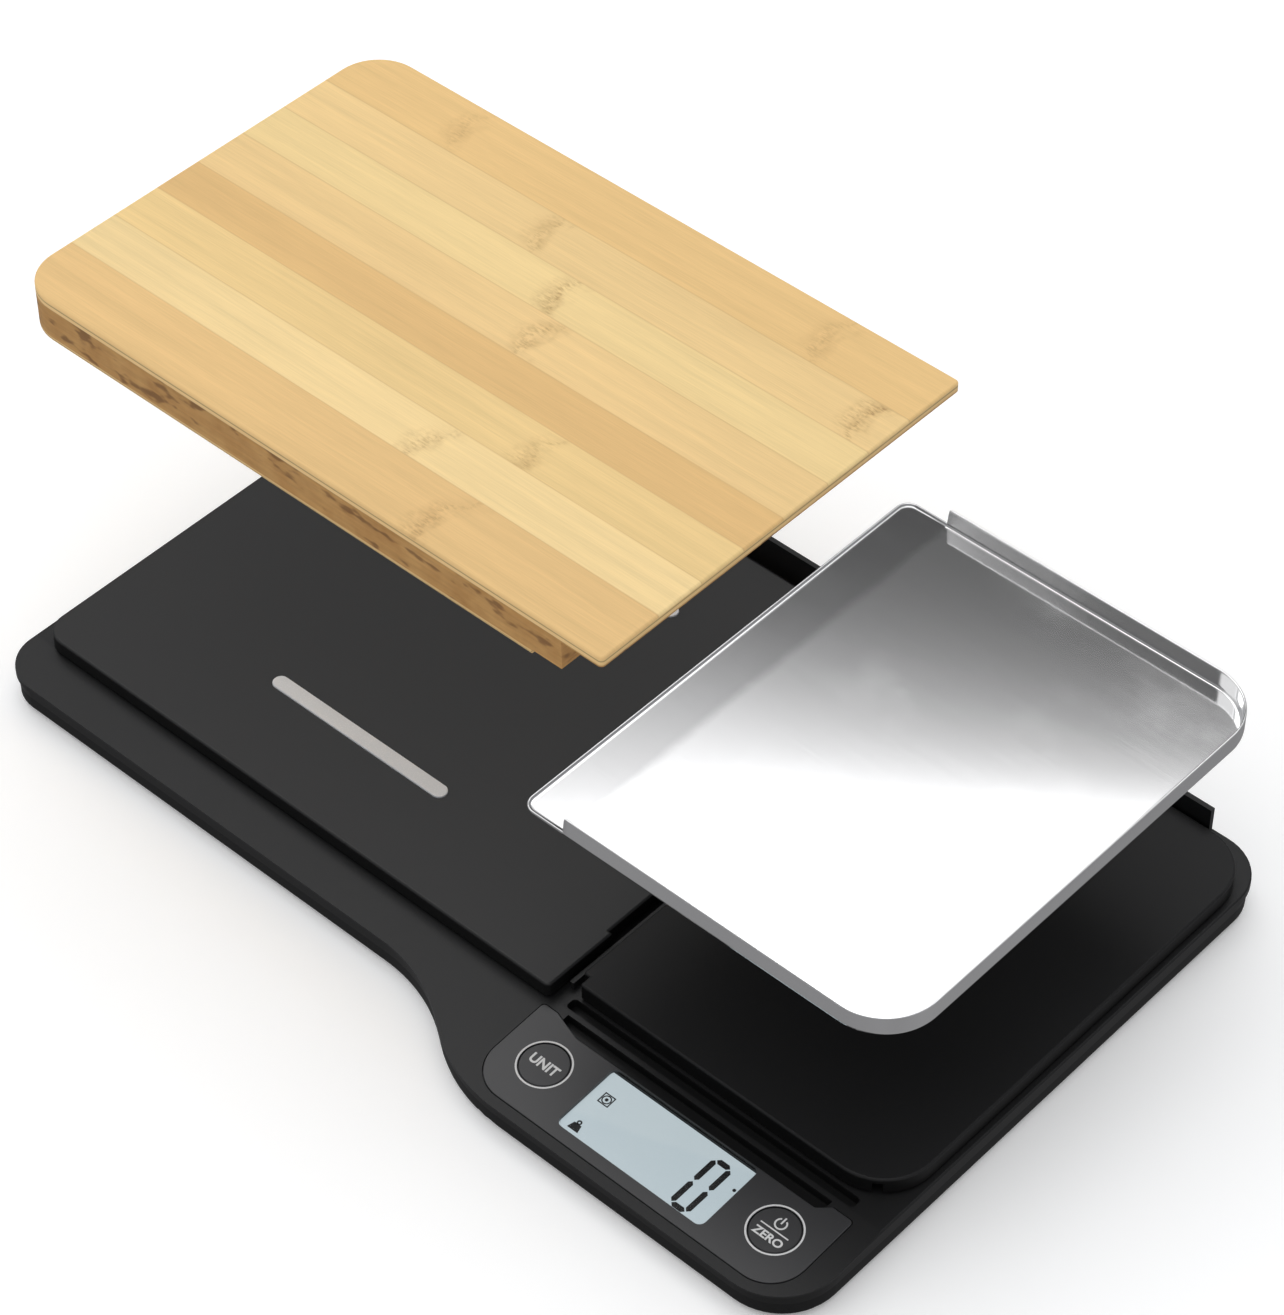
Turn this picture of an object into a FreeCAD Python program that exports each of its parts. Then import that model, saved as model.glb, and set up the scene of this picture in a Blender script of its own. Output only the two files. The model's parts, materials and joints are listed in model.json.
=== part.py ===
"""Two-platform kitchen scale with a bamboo cutting board and a steel serving tray.

Millimetres. +X runs along the long side to the viewer's right, +Y to the back, +Z up.
The origin is the middle of the base's footprint, on the surface that it stands on.
"""
import FreeCAD, Part
import os
import Sketcher
from FreeCAD import Placement, Rotation, Vector

os.makedirs("parts", exist_ok=True)
doc = FreeCAD.newDocument("KitchenScale")
sheet = doc.addObject("Spreadsheet::Sheet", "Sizes")

SUB_PARTS = []


class Size:
    """A length in millimetres together with the sheet expression that gives it."""

    def __init__(self, value, text):
        self.value = float(value)
        self.text = text

    @staticmethod
    def of(thing):
        return thing if isinstance(thing, Size) else Size(thing, f"{float(thing):.6g}")

    def __add__(self, other):
        other = Size.of(other)
        return Size(self.value + other.value, f"({self.text} + {other.text})")

    def __sub__(self, other):
        other = Size.of(other)
        return Size(self.value - other.value, f"({self.text} - {other.text})")

    def __mul__(self, other):
        other = Size.of(other)
        return Size(self.value * other.value, f"({self.text} * {other.text})")

    def __truediv__(self, other):
        other = Size.of(other)
        return Size(self.value / other.value, f"({self.text} / {other.text})")

    def __radd__(self, other):
        return Size.of(other) + self

    def __rsub__(self, other):
        return Size.of(other) - self

    def __rmul__(self, other):
        return Size.of(other) * self

    def __neg__(self):
        return Size(-self.value, f"(-{self.text})")


class Cells:
    """The driving dimensions: each attribute is a cell of the sheet."""

    def __init__(self, values):
        for row, (alias, value) in enumerate(values.items(), 1):
            sheet.set(f"A{row}", alias)
            sheet.set(f"B{row}", str(value))
            sheet.setAlias(f"B{row}", alias)
            setattr(self, alias, Size(value, f"Sizes.{alias}"))


c = Cells({
    # the base's outline and levels
    "base_length": 368, "base_depth": 235, "bulge_depth": 24, "bulge_start": 14.4, "bulge_end": 47.6,
    "bulge_blend": 58, "corner_front_left": 15, "corner_front_right": 22, "corner_back": 18,
    "foot_height": 1.8, "parting_level": 7.5, "rim_underside": 11.2, "deck_level": 14.5,
    "wall": 2.2, "deck_skin": 1.8, "floor_skin": 2, "wall_inset": 0.9, "display_ceiling": 9.6,
    # the platforms
    "platform_front": -77, "platform_back": 107, "left_platform_from": -179, "left_platform_to": 51.5,
    "right_platform_from": 56, "right_platform_to": 182,
    "right_platform_front": -70.2, "right_platform_back": 111,
    "platform_underside": 15.6, "platform_top": 21, "tray_seat": 21.6, "platform_skin": 2,
    "left_platform_corner": 9, "right_platform_corner": 19, "platform_edge": 0.8,
    # the bars that weigh
    "cell_length": 70, "cell_width": 12.7, "cell_height": 7, "cell_level": 6, "cell_gap": 0.5,
    "cell_bolt_pitch": 8, "cell_bolt_inset": 5, "bracket_length": 96, "bracket_width": 56,
    "bracket_level": 16, "bracket_thickness": 1.5, "spacer_length": 18,
    "right_cell_middle": 117.65,
    # the grip strips
    "grip_length": 78, "grip_width": 5.8, "grip_front": -41, "grip_back": 69.6, "grip_middle": -66,
    # the cutting board
    "board_from": -181.7, "board_to": 65.6, "board_block_to": 50, "board_front": -66.7,
    "board_back": 92.9, "board_thickness": 16.4, "board_lip": 3.6,
    "board_corner": 16, "board_small_corner": 1.5,
    "board_rebate_width": 12, "board_rebate_height": 2, "board_edge": 0.8, "board_raised": 126.6,
    # the serving tray
    "tray_from": 38.8, "tray_to": 181.7, "tray_front": -74, "tray_back": 105, "tray_sheet": 0.8,
    "tray_wall": 8, "tray_low_wall": 1.7, "tray_low_margin": 17, "tray_corner": 20,
    "tray_small_corner": 5, "tray_bend": 1.6, "tray_raised": 68.1,
    # the display
    "display_tilt": 3.5, "slope_run": 0.998135, "slope_rise": 0.061049, "display_pivot": -76,
    "panel_from": 51, "panel_to": 175.8,
    "panel_front": -38, "panel_back": -6.1, "panel_ear_back": -2.6, "panel_thickness": 1.2,
    "panel_proud": 0.3, "panel_corner": 13, "panel_fit": 0.25, "window_from": 84.8,
    "window_length": 57.6, "window_front": -33.2, "window_depth": 26.2, "window_corner": 2.5,
    "button_pitch": 92.4, "unit_button_x": 67.5, "button_line": -20, "button_radius": 8,
    "button_clearance": 0.25, "button_flange": 9,
    # the circuit board
    "circuit_from": 56, "circuit_to": 168, "circuit_front": -112, "circuit_back": -84, "circuit_level": 4.6,
    "circuit_thickness": 1.6, "circuit_screw_head": 2, "circuit_screw_shank": 1, "circuit_screw_length": 3,
    # the deck's troughs, rib and fence
    "finger_trough_from": 60, "finger_trough_to": 166, "finger_trough_back": -77.2,
    "finger_trough_width": 5.1, "trough_depth": 3.6, "rib_line": 53.75,
    # small hardware
    "foot_radius": 7, "foot_seat": 0.8, "screw_head": 2.6, "screw_shank": 1.2, "screw_seat": 1.1,
    "thread_fit": 0.05, "hole_fit": 0.2,
    "bolt_head": 3.1, "bolt_shank": 1.6, "coin_radius": 10, "coin_height": 3.2, "tub_ceiling": 8.6,
    "door_length": 54, "door_width": 30, "door_thickness": 1.6, "door_gap": 0.35, "door_axis_level": 2.8,
    "door_pin": 0.45, "door_pin_length": 1.2,
    "fence_top": 28, "fence_thickness": 1.8, "fence_half_length": 161.5, "fence_front": 112.2,
})
doc.recompute()


# ---------------------------------------------------------------- ways of making things

def bind(thing, **properties):
    """Ties properties to the sheet: bind(box, Length=..., Placement__Base__x=...)."""
    for name, size in properties.items():
        thing.setExpression(name.replace("__", "."), Size.of(size).text)
    return thing


def put(thing, x, y, z):
    return bind(thing, Placement__Base__x=x, Placement__Base__y=y, Placement__Base__z=z)


def block(name, x, y, z, length, width, height):
    """A box from its low corner."""
    box = doc.addObject("Part::Box", name)
    bind(box, Length=length, Width=width, Height=height)
    return put(box, x, y, z)


def rod(name, x, y, z, radius, height, direction=None):
    """A cylinder from the middle of its first end, upright unless a direction is given."""
    cylinder = doc.addObject("Part::Cylinder", name)
    if direction:
        cylinder.Placement = Placement(Vector(), Rotation(Vector(0, 0, 1), Vector(*direction)))
    bind(cylinder, Radius=radius, Height=height)
    return put(cylinder, x, y, z)


def fused(name, *things):
    fusion = doc.addObject("Part::MultiFuse", name)
    fusion.Shapes = list(things)
    return fusion


def cut(name, base, *tools):
    result = doc.addObject("Part::Cut", name)
    result.Base = base
    result.Tool = tools[0] if len(tools) == 1 else fused(name + "_tools", *tools)
    return result


def group(name, *things):
    """Separate solids kept in one node."""
    compound = doc.addObject("Part::Compound", name)
    compound.Links = list(things)
    return compound


def sub_part(thing, label):
    thing.Label = label
    SUB_PARTS.append(thing)
    return thing


def new_body(name):
    return doc.addObject("PartDesign::Body", name + "_body")


def origin_plane(body, role):
    return next(f for f in body.Origin.OriginFeatures if f.Role == role)


def outline(body, name, points, level=0, plane="XY_Plane"):
    """A closed polygon on one of the body's planes, each corner tied to the sheet."""
    sketch = body.newObject("Sketcher::SketchObject", name)
    sketch.AttachmentSupport = (origin_plane(body, plane), [""])
    sketch.MapMode = "FlatFace"
    bind(sketch, AttachmentOffset__Base__z=level)
    places = [Vector(x.value, y.value, 0) for x, y in points]
    for start, end in zip(places, places[1:] + places[:1]):
        sketch.addGeometry(Part.LineSegment(start, end), False)
    for side in range(len(points)):
        following = (side + 1) % len(points)
        sketch.addConstraint(Sketcher.Constraint("Coincident", side, 2, following, 1))
    for side, corner in enumerate(points):
        for kind, size in zip(("DistanceX", "DistanceY"), corner):
            number = sketch.addConstraint(Sketcher.Constraint(kind, -1, 1, side, 1, size.value))
            sketch.setExpression(f"Constraints[{number}]", size.text)
    doc.recompute()
    return sketch


def edges_where(shape, test):
    return [f"Edge{n}" for n, edge in enumerate(shape.Edges, 1) if test(edge)]


def upright_at(corner):
    """Picks the upright edge over a corner of an outline."""
    def test(edge):
        box = edge.BoundBox
        upright = box.XLength < 1e-4 and box.YLength < 1e-4
        return upright and abs(box.XMin - corner[0].value) < 0.01 and abs(box.YMin - corner[1].value) < 0.01

    return test


def level_at(z):
    """Picks the edges that lie flat at a level."""
    z = Size.of(z).value
    return lambda edge: abs(edge.BoundBox.ZMin - z) < 0.01 and edge.BoundBox.ZLength < 0.01


def rounded(body, name, radius, *tests):
    """Rounds every edge of the body's tip that passes one of the tests."""
    names = sorted({n for test in tests for n in edges_where(body.Tip.Shape, test)})
    if not names:
        raise RuntimeError(f"{name} finds no edge")
    base = body.Tip
    feature = body.newObject("PartDesign::Fillet", name)
    feature.Base = (base, names)
    bind(feature, Radius=radius)
    doc.recompute()
    return feature


def prism(name, corners, level, height, hem=None, brow=None):
    """An upright body on a polygon: corners are x, y and, where rounded, a radius.

    hem and brow round its bottom and top edges.
    """
    body = new_body(name)
    corners = [[Size.of(size) for size in corner] for corner in corners]
    level = Size.of(level)
    feature = body.newObject("PartDesign::Pad", name + "_pad")
    feature.Profile = outline(body, name + "_outline", [corner[:2] for corner in corners], level)
    bind(feature, Length=height)
    doc.recompute()
    radii = {}
    for corner in corners:
        if len(corner) == 3:
            radii.setdefault(corner[2].text, []).append(corner)
    for number, alike in enumerate(radii.values()):
        rounded(body, f"{name}_round_{number}", alike[0][2], *[upright_at(corner) for corner in alike])
    if hem:
        rounded(body, name + "_hem", hem, level_at(level))
    if brow:
        rounded(body, name + "_brow", brow, level_at(level + height))
    return body


def turned(name, x, y, z, profile):
    """A turned body standing at a place: the profile is radius, height about its own upright axis."""
    body = new_body(name)
    feature = body.newObject("PartDesign::Revolution", name + "_turning")
    points = [[Size.of(size) for size in point] for point in profile]
    feature.Profile = outline(body, name + "_profile", points, plane="XZ_Plane")
    feature.ReferenceAxis = (feature.Profile[0], ["V_Axis"])
    feature.Angle = 360
    doc.recompute()
    return put(body, x, y, z)


def rectangle(x0, y0, x1, y1, *radius):
    return [(x0, y0, *radius), (x1, y0, *radius), (x1, y1, *radius), (x0, y1, *radius)]


def around(x, y, length, width, *radius):
    """A rectangle by its middle."""
    return rectangle(x - length / 2, y - width / 2, x + length / 2, y + width / 2, *radius)


def on_the_slope(thing, x=0, v=0, w=0):
    """Places a thing by its x, its distance v along the display's slope and its height w over it."""
    thing.Placement = Placement(Vector(), Rotation(Vector(1, 0, 0), c.display_tilt.value))
    v, w = Size.of(v), Size.of(w)
    run, rise = c.slope_run, c.slope_rise
    return put(thing, x, c.display_pivot + v * run - w * rise, c.deck_level + v * rise + w * run)


# ---------------------------------------------------------------- places shared by several pieces

half_length = c.base_length / 2
half_depth = c.base_depth / 2
base_front = -half_depth
base_front_left = base_front + c.bulge_depth
floor_top = c.foot_height + c.floor_skin
platform_middle = (c.platform_front + c.platform_back) / 2
CELLS = {
    "left": (c.left_platform_from + c.left_platform_to) / 2,
    "right": c.right_cell_middle,
}
door_middle = (CELLS["left"], c.platform_front + 37)
door_hinge = door_middle[1] + c.door_width / 2 - c.door_gap - c.door_thickness / 2
panel_seat = c.panel_proud - c.panel_thickness
FEET = {
    "front_left": (24 - half_length, base_front_left + 24),
    "front_right": (half_length - 22, base_front + 22),
    "back_right": (half_length - 24, half_depth - 24),
    "back_left": (24 - half_length, half_depth - 24),
}
SCREWS = [
    (10 - half_length, platform_middle), (half_length - 10, platform_middle),
    (Size.of(53.7), platform_middle + 60), (Size.of(-64), half_depth - 11),
    (half_length - 62, half_depth - 11), (Size.of(-120), base_front_left + 10),
    (Size.of(38), base_front_left + 12),
]
CIRCUIT_SCREWS = [
    (c.circuit_from + 4, c.circuit_back - 4), (c.circuit_to - 4, c.circuit_back - 4),
    (c.circuit_from + 28, c.circuit_front + 4), (c.circuit_to - 26, c.circuit_front + 4),
]
BUTTONS = {"unit": c.unit_button_x, "zero": c.unit_button_x + c.button_pitch}


def base_outline(inset):
    """The footprint, pulled in on every side by the inset."""
    side, back, front = half_length - inset, half_depth - inset, base_front + inset
    front_left = front + c.bulge_depth
    drift = inset * 0.324
    blend = c.bulge_blend
    return [
        (-side, front_left, c.corner_front_left - inset),
        (c.bulge_start + drift, front_left, blend), (c.bulge_end + drift, front, blend),
        (side, front, c.corner_front_right - inset),
        (side, back, c.corner_back - inset), (-side, back, c.corner_back - inset),
    ]


def fixed_bolts(middle):
    """Where the two bolts at a bar's fixed end go."""
    first = middle - c.cell_length / 2 + c.cell_bolt_inset
    return [first, first + c.cell_bolt_pitch]


def free_bolts(middle):
    """Where the two bolts at a bar's free end go."""
    first = middle + c.cell_length / 2 - c.cell_bolt_inset
    return [first - c.cell_bolt_pitch, first]


def bracket_corners(middle):
    """Where a bracket is screwed to its platform."""
    inset = 7
    across, along = c.bracket_length / 2 - inset, c.bracket_width / 2 - inset
    return [(middle + x * across, platform_middle + y * along) for x in (-1, 1) for y in (-1, 1)]


# ---------------------------------------------------------------- the base's shells

def lower_housing():
    """The bottom shell: floor, side wall, battery tub, board rests and the seats of feet and screws."""
    level = c.foot_height
    outer = prism("lower_outer", base_outline(c.wall_inset), level, c.parting_level - level, hem=1.6)
    inner = prism("lower_inner", base_outline(c.wall_inset + c.wall), floor_top, c.parting_level)
    x, y = door_middle
    wall = 1.5
    tub = prism("battery_tub", around(x, y, c.door_length + 2 * wall, c.door_width + 2 * wall, 2),
                floor_top - 0.5, c.tub_ceiling + wall - floor_top + 0.5)
    rests = [rod(f"board_rest_{n}", x, y, floor_top - 0.5, 2.4, c.circuit_level - floor_top + 0.5)
             for n, (x, y) in enumerate(CIRCUIT_SCREWS)]
    ways = [prism("door_way", around(x, y, c.door_length, c.door_width, 0.6), 0, c.tub_ceiling)]
    ways.append(rod("door_pin_way", x - c.door_length / 2 - c.door_pin_length, door_hinge, c.door_axis_level,
                    c.door_pin + 0.1, c.door_length + 2 * c.door_pin_length, (1, 0, 0)))
    for place, (x, y) in FEET.items():
        ways.append(rod(f"foot_seat_{place}", x, y, 0, c.foot_radius + 0.1, level + c.foot_seat))
    for number, (x, y) in enumerate(SCREWS):
        ways.append(rod(f"screw_way_{number}", x, y, 0, c.screw_shank + c.hole_fit, 10))
        ways.append(rod(f"screw_seat_{number}", x, y, 0, c.screw_head + c.hole_fit, level + c.screw_seat))
    for side, middle in CELLS.items():
        for number, x in enumerate(fixed_bolts(middle)):
            ways.append(rod(f"cell_bolt_way_{side}_{number}", x, platform_middle, 0,
                            c.bolt_shank + c.hole_fit, 10))
            ways.append(rod(f"cell_bolt_seat_{side}_{number}", x, platform_middle, 0,
                            c.bolt_head + c.hole_fit, level + c.screw_seat))
    ways += [rod(f"board_pilot_{n}", x, y, floor_top, c.circuit_screw_shank + c.thread_fit, 5)
             for n, (x, y) in enumerate(CIRCUIT_SCREWS)]
    shell = fused("lower_solid", cut("lower_shell", outer, inner), tub, *rests)
    return sub_part(cut("lower_housing_cut", shell, *ways), "lower_housing")


def display_ways():
    """The slope along the whole front of the top shell, and what the display needs cut into it."""
    above = block("slope_way", 0, 0, 0, c.base_length, c.base_depth, 20)
    ways = [on_the_slope(above, -half_length, -c.base_depth)]
    ways.append(on_the_slope(prism("panel_way", panel_corners(Size.of(0)), 0, 10), w=panel_seat))
    window = rectangle(c.window_from - 1.4, c.window_front - 1.2,
                       c.window_from + c.window_length + 1.4, c.window_front + c.window_depth - 0.2)
    ways.append(on_the_slope(prism("window_way", window, 0, 20), w=-10))
    for name, x in BUTTONS.items():
        way = rod(f"{name}_button_way", 0, 0, 0, c.button_flange + c.button_clearance, 20)
        ways.append(on_the_slope(way, x, c.button_line, -10))
    return ways


def upper_housing():
    """The top shell: rim, deck, display slope, troughs, divider rib, rear fence and screw posts."""
    low, deck, rim = c.parting_level, c.deck_level, c.rim_underside
    fence = around(Size.of(0), c.fence_front + c.fence_thickness / 2,
                   c.fence_half_length * 2, c.fence_thickness)
    solid = [
        prism("upper_wall", base_outline(c.wall_inset), low, rim - low + 0.5),
        prism("rim", base_outline(Size.of(0)), rim, deck - rim, brow=0.7),
        prism("rear_fence", fence, deck - 1, c.fence_top - deck + 1),
        prism("divider_rib", around(c.rib_line, platform_middle, 1.5, 168, 0.5), deck - 1, 4),
    ]
    hollow = prism("deck_hollow", base_outline(c.wall_inset + c.wall), 0, deck - c.deck_skin)
    roof = block("display_roof", c.bulge_start - 12, base_front, c.display_ceiling,
                 c.base_length, c.display_pivot + 6 - base_front, 20)
    ways = [cut("cavity", hollow, roof), *display_ways()]
    left, right = c.finger_trough_from, c.finger_trough_to
    front, back = c.finger_trough_back - c.finger_trough_width, c.finger_trough_back
    finger_trough = [(left + 7.5, front), (right - 2, front), (right, front + 2.3),
                     (right, back), (left, back), (left, front + 2.8)]
    ways.append(prism("finger_trough", finger_trough, deck - c.trough_depth, 10))
    platform_trough = rectangle(left - 3, back + 1.8, right + 6, c.right_platform_front - 0.8, 1.5)
    ways.append(prism("platform_trough", platform_trough, deck - c.trough_depth, 10))
    for side, middle in CELLS.items():
        ways.append(prism(f"cell_window_{side}",
                          around(middle, platform_middle, c.cell_length + 6, c.cell_width + 6, 3), low, 20))
    shell = cut("upper_shell", fused("upper_solid", *solid), *ways)
    posts = [rod(f"post_{n}", x, y, floor_top, 3.2, c.display_ceiling + 3.6 - floor_top)
             for n, (x, y) in enumerate(SCREWS)]
    pilots = [rod(f"pilot_{n}", x, y, 0, c.screw_shank + c.thread_fit, 11) for n, (x, y) in enumerate(SCREWS)]
    whole = cut("upper_housing_cut", fused("upper_with_posts", shell, *posts), *pilots)
    return sub_part(whole, "upper_housing")


def feet():
    """Four rubber discs let into the floor."""
    radius = c.foot_radius
    for place, (x, y) in FEET.items():
        profile = [(0, 0), (radius - 1, 0), (radius, 0.8), (radius, c.foot_height + c.foot_seat),
                   (0, c.foot_height + c.foot_seat)]
        sub_part(turned(f"foot_{place}", x, y, 0, profile), f"foot_{place}")


def screw(name, x, y, z, head, shank, head_height, length, upward=True):
    """A screw with its head's outer face at z and its shank pointing up or down."""
    way = 1 if upward else -1
    direction = (0, 0, way)
    top = rod(name + "_head", x, y, z, head, head_height, direction)
    return fused(name, top, rod(name + "_shank", x, y, z, shank, length, direction))


def housing_screws():
    """The seven self-tapping screws that hold the two shells together."""
    level = c.foot_height + 0.1
    screws = [screw(f"housing_screw_{n}", x, y, level, c.screw_head, c.screw_shank, c.screw_seat - 0.1, 8.6)
              for n, (x, y) in enumerate(SCREWS)]
    return sub_part(group("housing_screw_group", *screws), "housing_screws")


# ---------------------------------------------------------------- weighing: bars, brackets, platforms

def load_cells():
    """For each platform: the aluminium bar, its gauges, the spacer under its fixed end and the bolts."""
    bolts = []
    width = c.cell_width
    for side, middle in CELLS.items():
        start = middle - c.cell_length / 2
        front = platform_middle - width / 2
        bar = block(f"bar_{side}", start, front, c.cell_level, c.cell_length, width, c.cell_height)
        waist = c.cell_level + c.cell_height / 2
        holes = [rod(f"bar_hole_{side}_{n}", middle + shift, front, waist, 2.3, width, (0, 1, 0))
                 for n, shift in enumerate((-6, 6))]
        holes.append(block(f"bar_slot_{side}", middle - 6, front, waist - 1, 12, width, 2))
        for number, x in enumerate(fixed_bolts(middle) + free_bolts(middle)):
            holes.append(rod(f"bar_tap_{side}_{number}", x, platform_middle, 0,
                             c.bolt_shank + c.thread_fit, 20))
        sub_part(cut(f"bar_cut_{side}", bar, *holes), f"load_cell_{side}")
        gauges = [block(f"gauge_{side}_{n}", middle - 8, platform_middle - 4, z, 16, 8, 0.3)
                  for n, z in enumerate((c.cell_level - 0.3, c.cell_level + c.cell_height))]
        sub_part(group(f"gauge_group_{side}", *gauges), f"strain_gauges_{side}")
        plate = prism(f"cell_spacer_{side}_plate",
                      around(start + c.spacer_length / 2, platform_middle, c.spacer_length, width, 1),
                      floor_top, c.cell_level - floor_top)
        ways = [rod(f"cell_spacer_hole_{side}_{n}", x, platform_middle, 0, c.bolt_shank + c.hole_fit, 20)
                for n, x in enumerate(fixed_bolts(middle))]
        sub_part(cut(f"cell_spacer_cut_{side}", plate, *ways), f"cell_spacer_{side}")
        bolts += [screw(f"cell_bolt_{side}_{n}", x, platform_middle, c.foot_height + 0.1, c.bolt_head,
                        c.bolt_shank, c.screw_seat - 0.1, 9.5) for n, x in enumerate(fixed_bolts(middle))]
    sub_part(group("load_cell_bolt_group", *bolts), "load_cell_bolts")


def carrier(side, middle):
    """The steel bracket under a platform, the spacer on the bar's free end and their fasteners."""
    level, thickness = c.bracket_level, c.bracket_thickness
    free_end = middle + c.cell_length / 2 - c.spacer_length / 2
    bar_top = c.cell_level + c.cell_height + c.cell_gap
    plate = prism(f"bracket_plate_{side}",
                  around(middle, platform_middle, c.bracket_length, c.bracket_width, 6), level, thickness)
    corners = bracket_corners(middle)
    ways = [rod(f"bracket_hole_{side}_{n}", x, platform_middle, 0, c.bolt_shank + c.hole_fit, 30)
            for n, x in enumerate(free_bolts(middle))]
    ways += [rod(f"bracket_corner_{side}_{n}", x, y, 0, c.screw_shank + c.hole_fit, 30)
             for n, (x, y) in enumerate(corners)]
    sub_part(cut(f"bracket_cut_{side}", plate, *ways), f"platform_bracket_{side}")
    lift = prism(f"lift_plate_{side}", around(free_end, platform_middle, c.spacer_length, c.cell_width, 1),
                 bar_top, level - bar_top)
    ways = [rod(f"lift_hole_{side}_{n}", x, platform_middle, 0, c.bolt_shank + c.hole_fit, 30)
            for n, x in enumerate(free_bolts(middle))]
    sub_part(cut(f"lift_cut_{side}", lift, *ways), f"platform_spacer_{side}")
    screws = [screw(f"lift_bolt_{side}_{n}", x, platform_middle, level + thickness + 1.1, c.bolt_head,
                    c.bolt_shank, 1.1, 4.8, upward=False) for n, x in enumerate(free_bolts(middle))]
    screws += [screw(f"bracket_screw_{side}_{n}", x, y, level - 0.8, c.screw_head - 0.4,
                     c.screw_shank, 0.8, 3.2) for n, (x, y) in enumerate(corners)]
    sub_part(group(f"platform_screw_group_{side}", *screws), f"platform_screws_{side}")


def platform(side, middle, corners, top, *recesses):
    """A platform tray turned upside down: skin, skirt and four posts down to its bracket."""
    under, skirt = c.platform_underside, 2
    xs = [corner[0].value for corner in corners]
    outer = prism(f"platform_outer_{side}", corners, under, top - under, brow=c.platform_edge)
    west = min(corners, key=lambda corner: corner[0].value)[0] + skirt
    east = max(corners, key=lambda corner: corner[0].value)[0] - skirt - 2.5
    south = max(corner[1].value for corner in corners[:2])
    north = max(corners, key=lambda corner: corner[1].value)[1] - skirt
    inner = prism(f"platform_inner_{side}",
                  rectangle(west + 2.5, Size.of(south) + skirt, east, north, 8),
                  0, top - c.platform_skin)
    posts = [rod(f"platform_post_{side}_{n}", x, y, c.bracket_level + c.bracket_thickness, 3.4, 2.6)
             for n, (x, y) in enumerate(bracket_corners(middle))]
    pilots = [rod(f"platform_pilot_{side}_{n}", x, y, 0, c.screw_shank + c.thread_fit, c.bracket_level + 2.6)
              for n, (x, y) in enumerate(bracket_corners(middle))]
    whole = fused(f"platform_whole_{side}", cut(f"platform_shell_{side}", outer, inner), *posts)
    return sub_part(cut(f"platform_cut_{side}", whole, *pilots, *recesses), f"platform_{side}")


def platforms():
    """The two weighing platforms, each on its own bar, and the grip strips on the left one."""
    front, back = c.platform_front, c.platform_back
    west, east, step = c.left_platform_from, c.left_platform_to, front + 29
    left = [(west, front, c.left_platform_corner), (east, front, 2), (east, step), (east - 1.5, step),
            (east - 1.5, back, 2), (west, back, c.left_platform_corner)]
    strips = {"front": (c.grip_middle, c.grip_front), "back": (c.grip_middle, c.grip_back)}
    recesses = [prism(f"grip_recess_{name}", around(x, y, c.grip_length, c.grip_width, 2.85),
                      c.platform_top - 0.8, 5) for name, (x, y) in strips.items()]
    platform("left", CELLS["left"], left, c.platform_top, *recesses)
    for name, (x, y) in strips.items():
        strip = prism(f"grip_{name}", around(x, y, c.grip_length - 0.2, c.grip_width - 0.2, 2.75),
                      c.platform_top - 0.8, c.tray_seat - c.platform_top + 0.8, brow=0.25)
        sub_part(strip, f"grip_strip_{name}")
    west, east = c.right_platform_from, c.right_platform_to
    front, back = c.right_platform_front, c.right_platform_back
    large = c.right_platform_corner
    right = [(west + 2.5, front, 1), (east, front, large), (east, back, large), (west, back, 2),
             (west, front + 4.2, 1), (west + 2.5, front + 4.2)]
    platform("right", CELLS["right"], right, c.tray_seat)
    for side, middle in CELLS.items():
        carrier(side, middle)


# ---------------------------------------------------------------- the display and its electronics

def panel_corners(inset):
    """The display panel's outline in the slope's own frame, with two ears beside the finger trough."""
    left, right = c.panel_from + inset, c.panel_to - inset
    front, back, ear = c.panel_front + inset, c.panel_back - inset, c.panel_ear_back - inset
    return [
        (left, front, c.panel_corner), (right, front, c.panel_corner), (right, ear, 1.5),
        (right - 8, ear, 1), (right - 12, back, 1),
        (left + 17, back, 1), (left + 6, ear, 1), (left, ear, 1.5),
    ]


def window_corners(grow):
    """The window's outline in the slope's own frame."""
    return rectangle(c.window_from - grow, c.window_front - grow, c.window_from + c.window_length + grow,
                     c.window_front + c.window_depth + grow, c.window_corner)


def display_panel():
    """The charcoal plate that frames the window and the two keys."""
    plate = prism("panel_plate", panel_corners(c.panel_fit), 0, c.panel_thickness, brow=0.3)
    holes = [prism("panel_window", window_corners(c.panel_fit), -5, 20)]
    for name, x in BUTTONS.items():
        holes.append(rod(f"panel_hole_{name}", x, c.button_line, -5,
                         c.button_radius + c.button_clearance, 20))
    sub_part(on_the_slope(cut("panel_cut", plate, *holes), w=panel_seat), "display_panel")


def display_stack():
    """What lies under the panel: clear window, liquid crystal glass and light guide."""
    x, v = c.window_from, c.window_front
    length, depth = c.window_length, c.window_depth
    glass = rectangle(x - 0.8, v, x + length + 0.8, v + depth - 0.8)
    pieces = {
        "display_window": (window_corners(Size.of(0)), panel_seat, 1),
        "lcd_glass": (glass, panel_seat - 2.1, 2),
        "lcd_backlight": (glass, panel_seat - 3.5, 1.3),
    }
    for label, (corners, w, thickness) in pieces.items():
        sub_part(on_the_slope(prism(label + "_plate", corners, 0, thickness), w=w), label)


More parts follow.
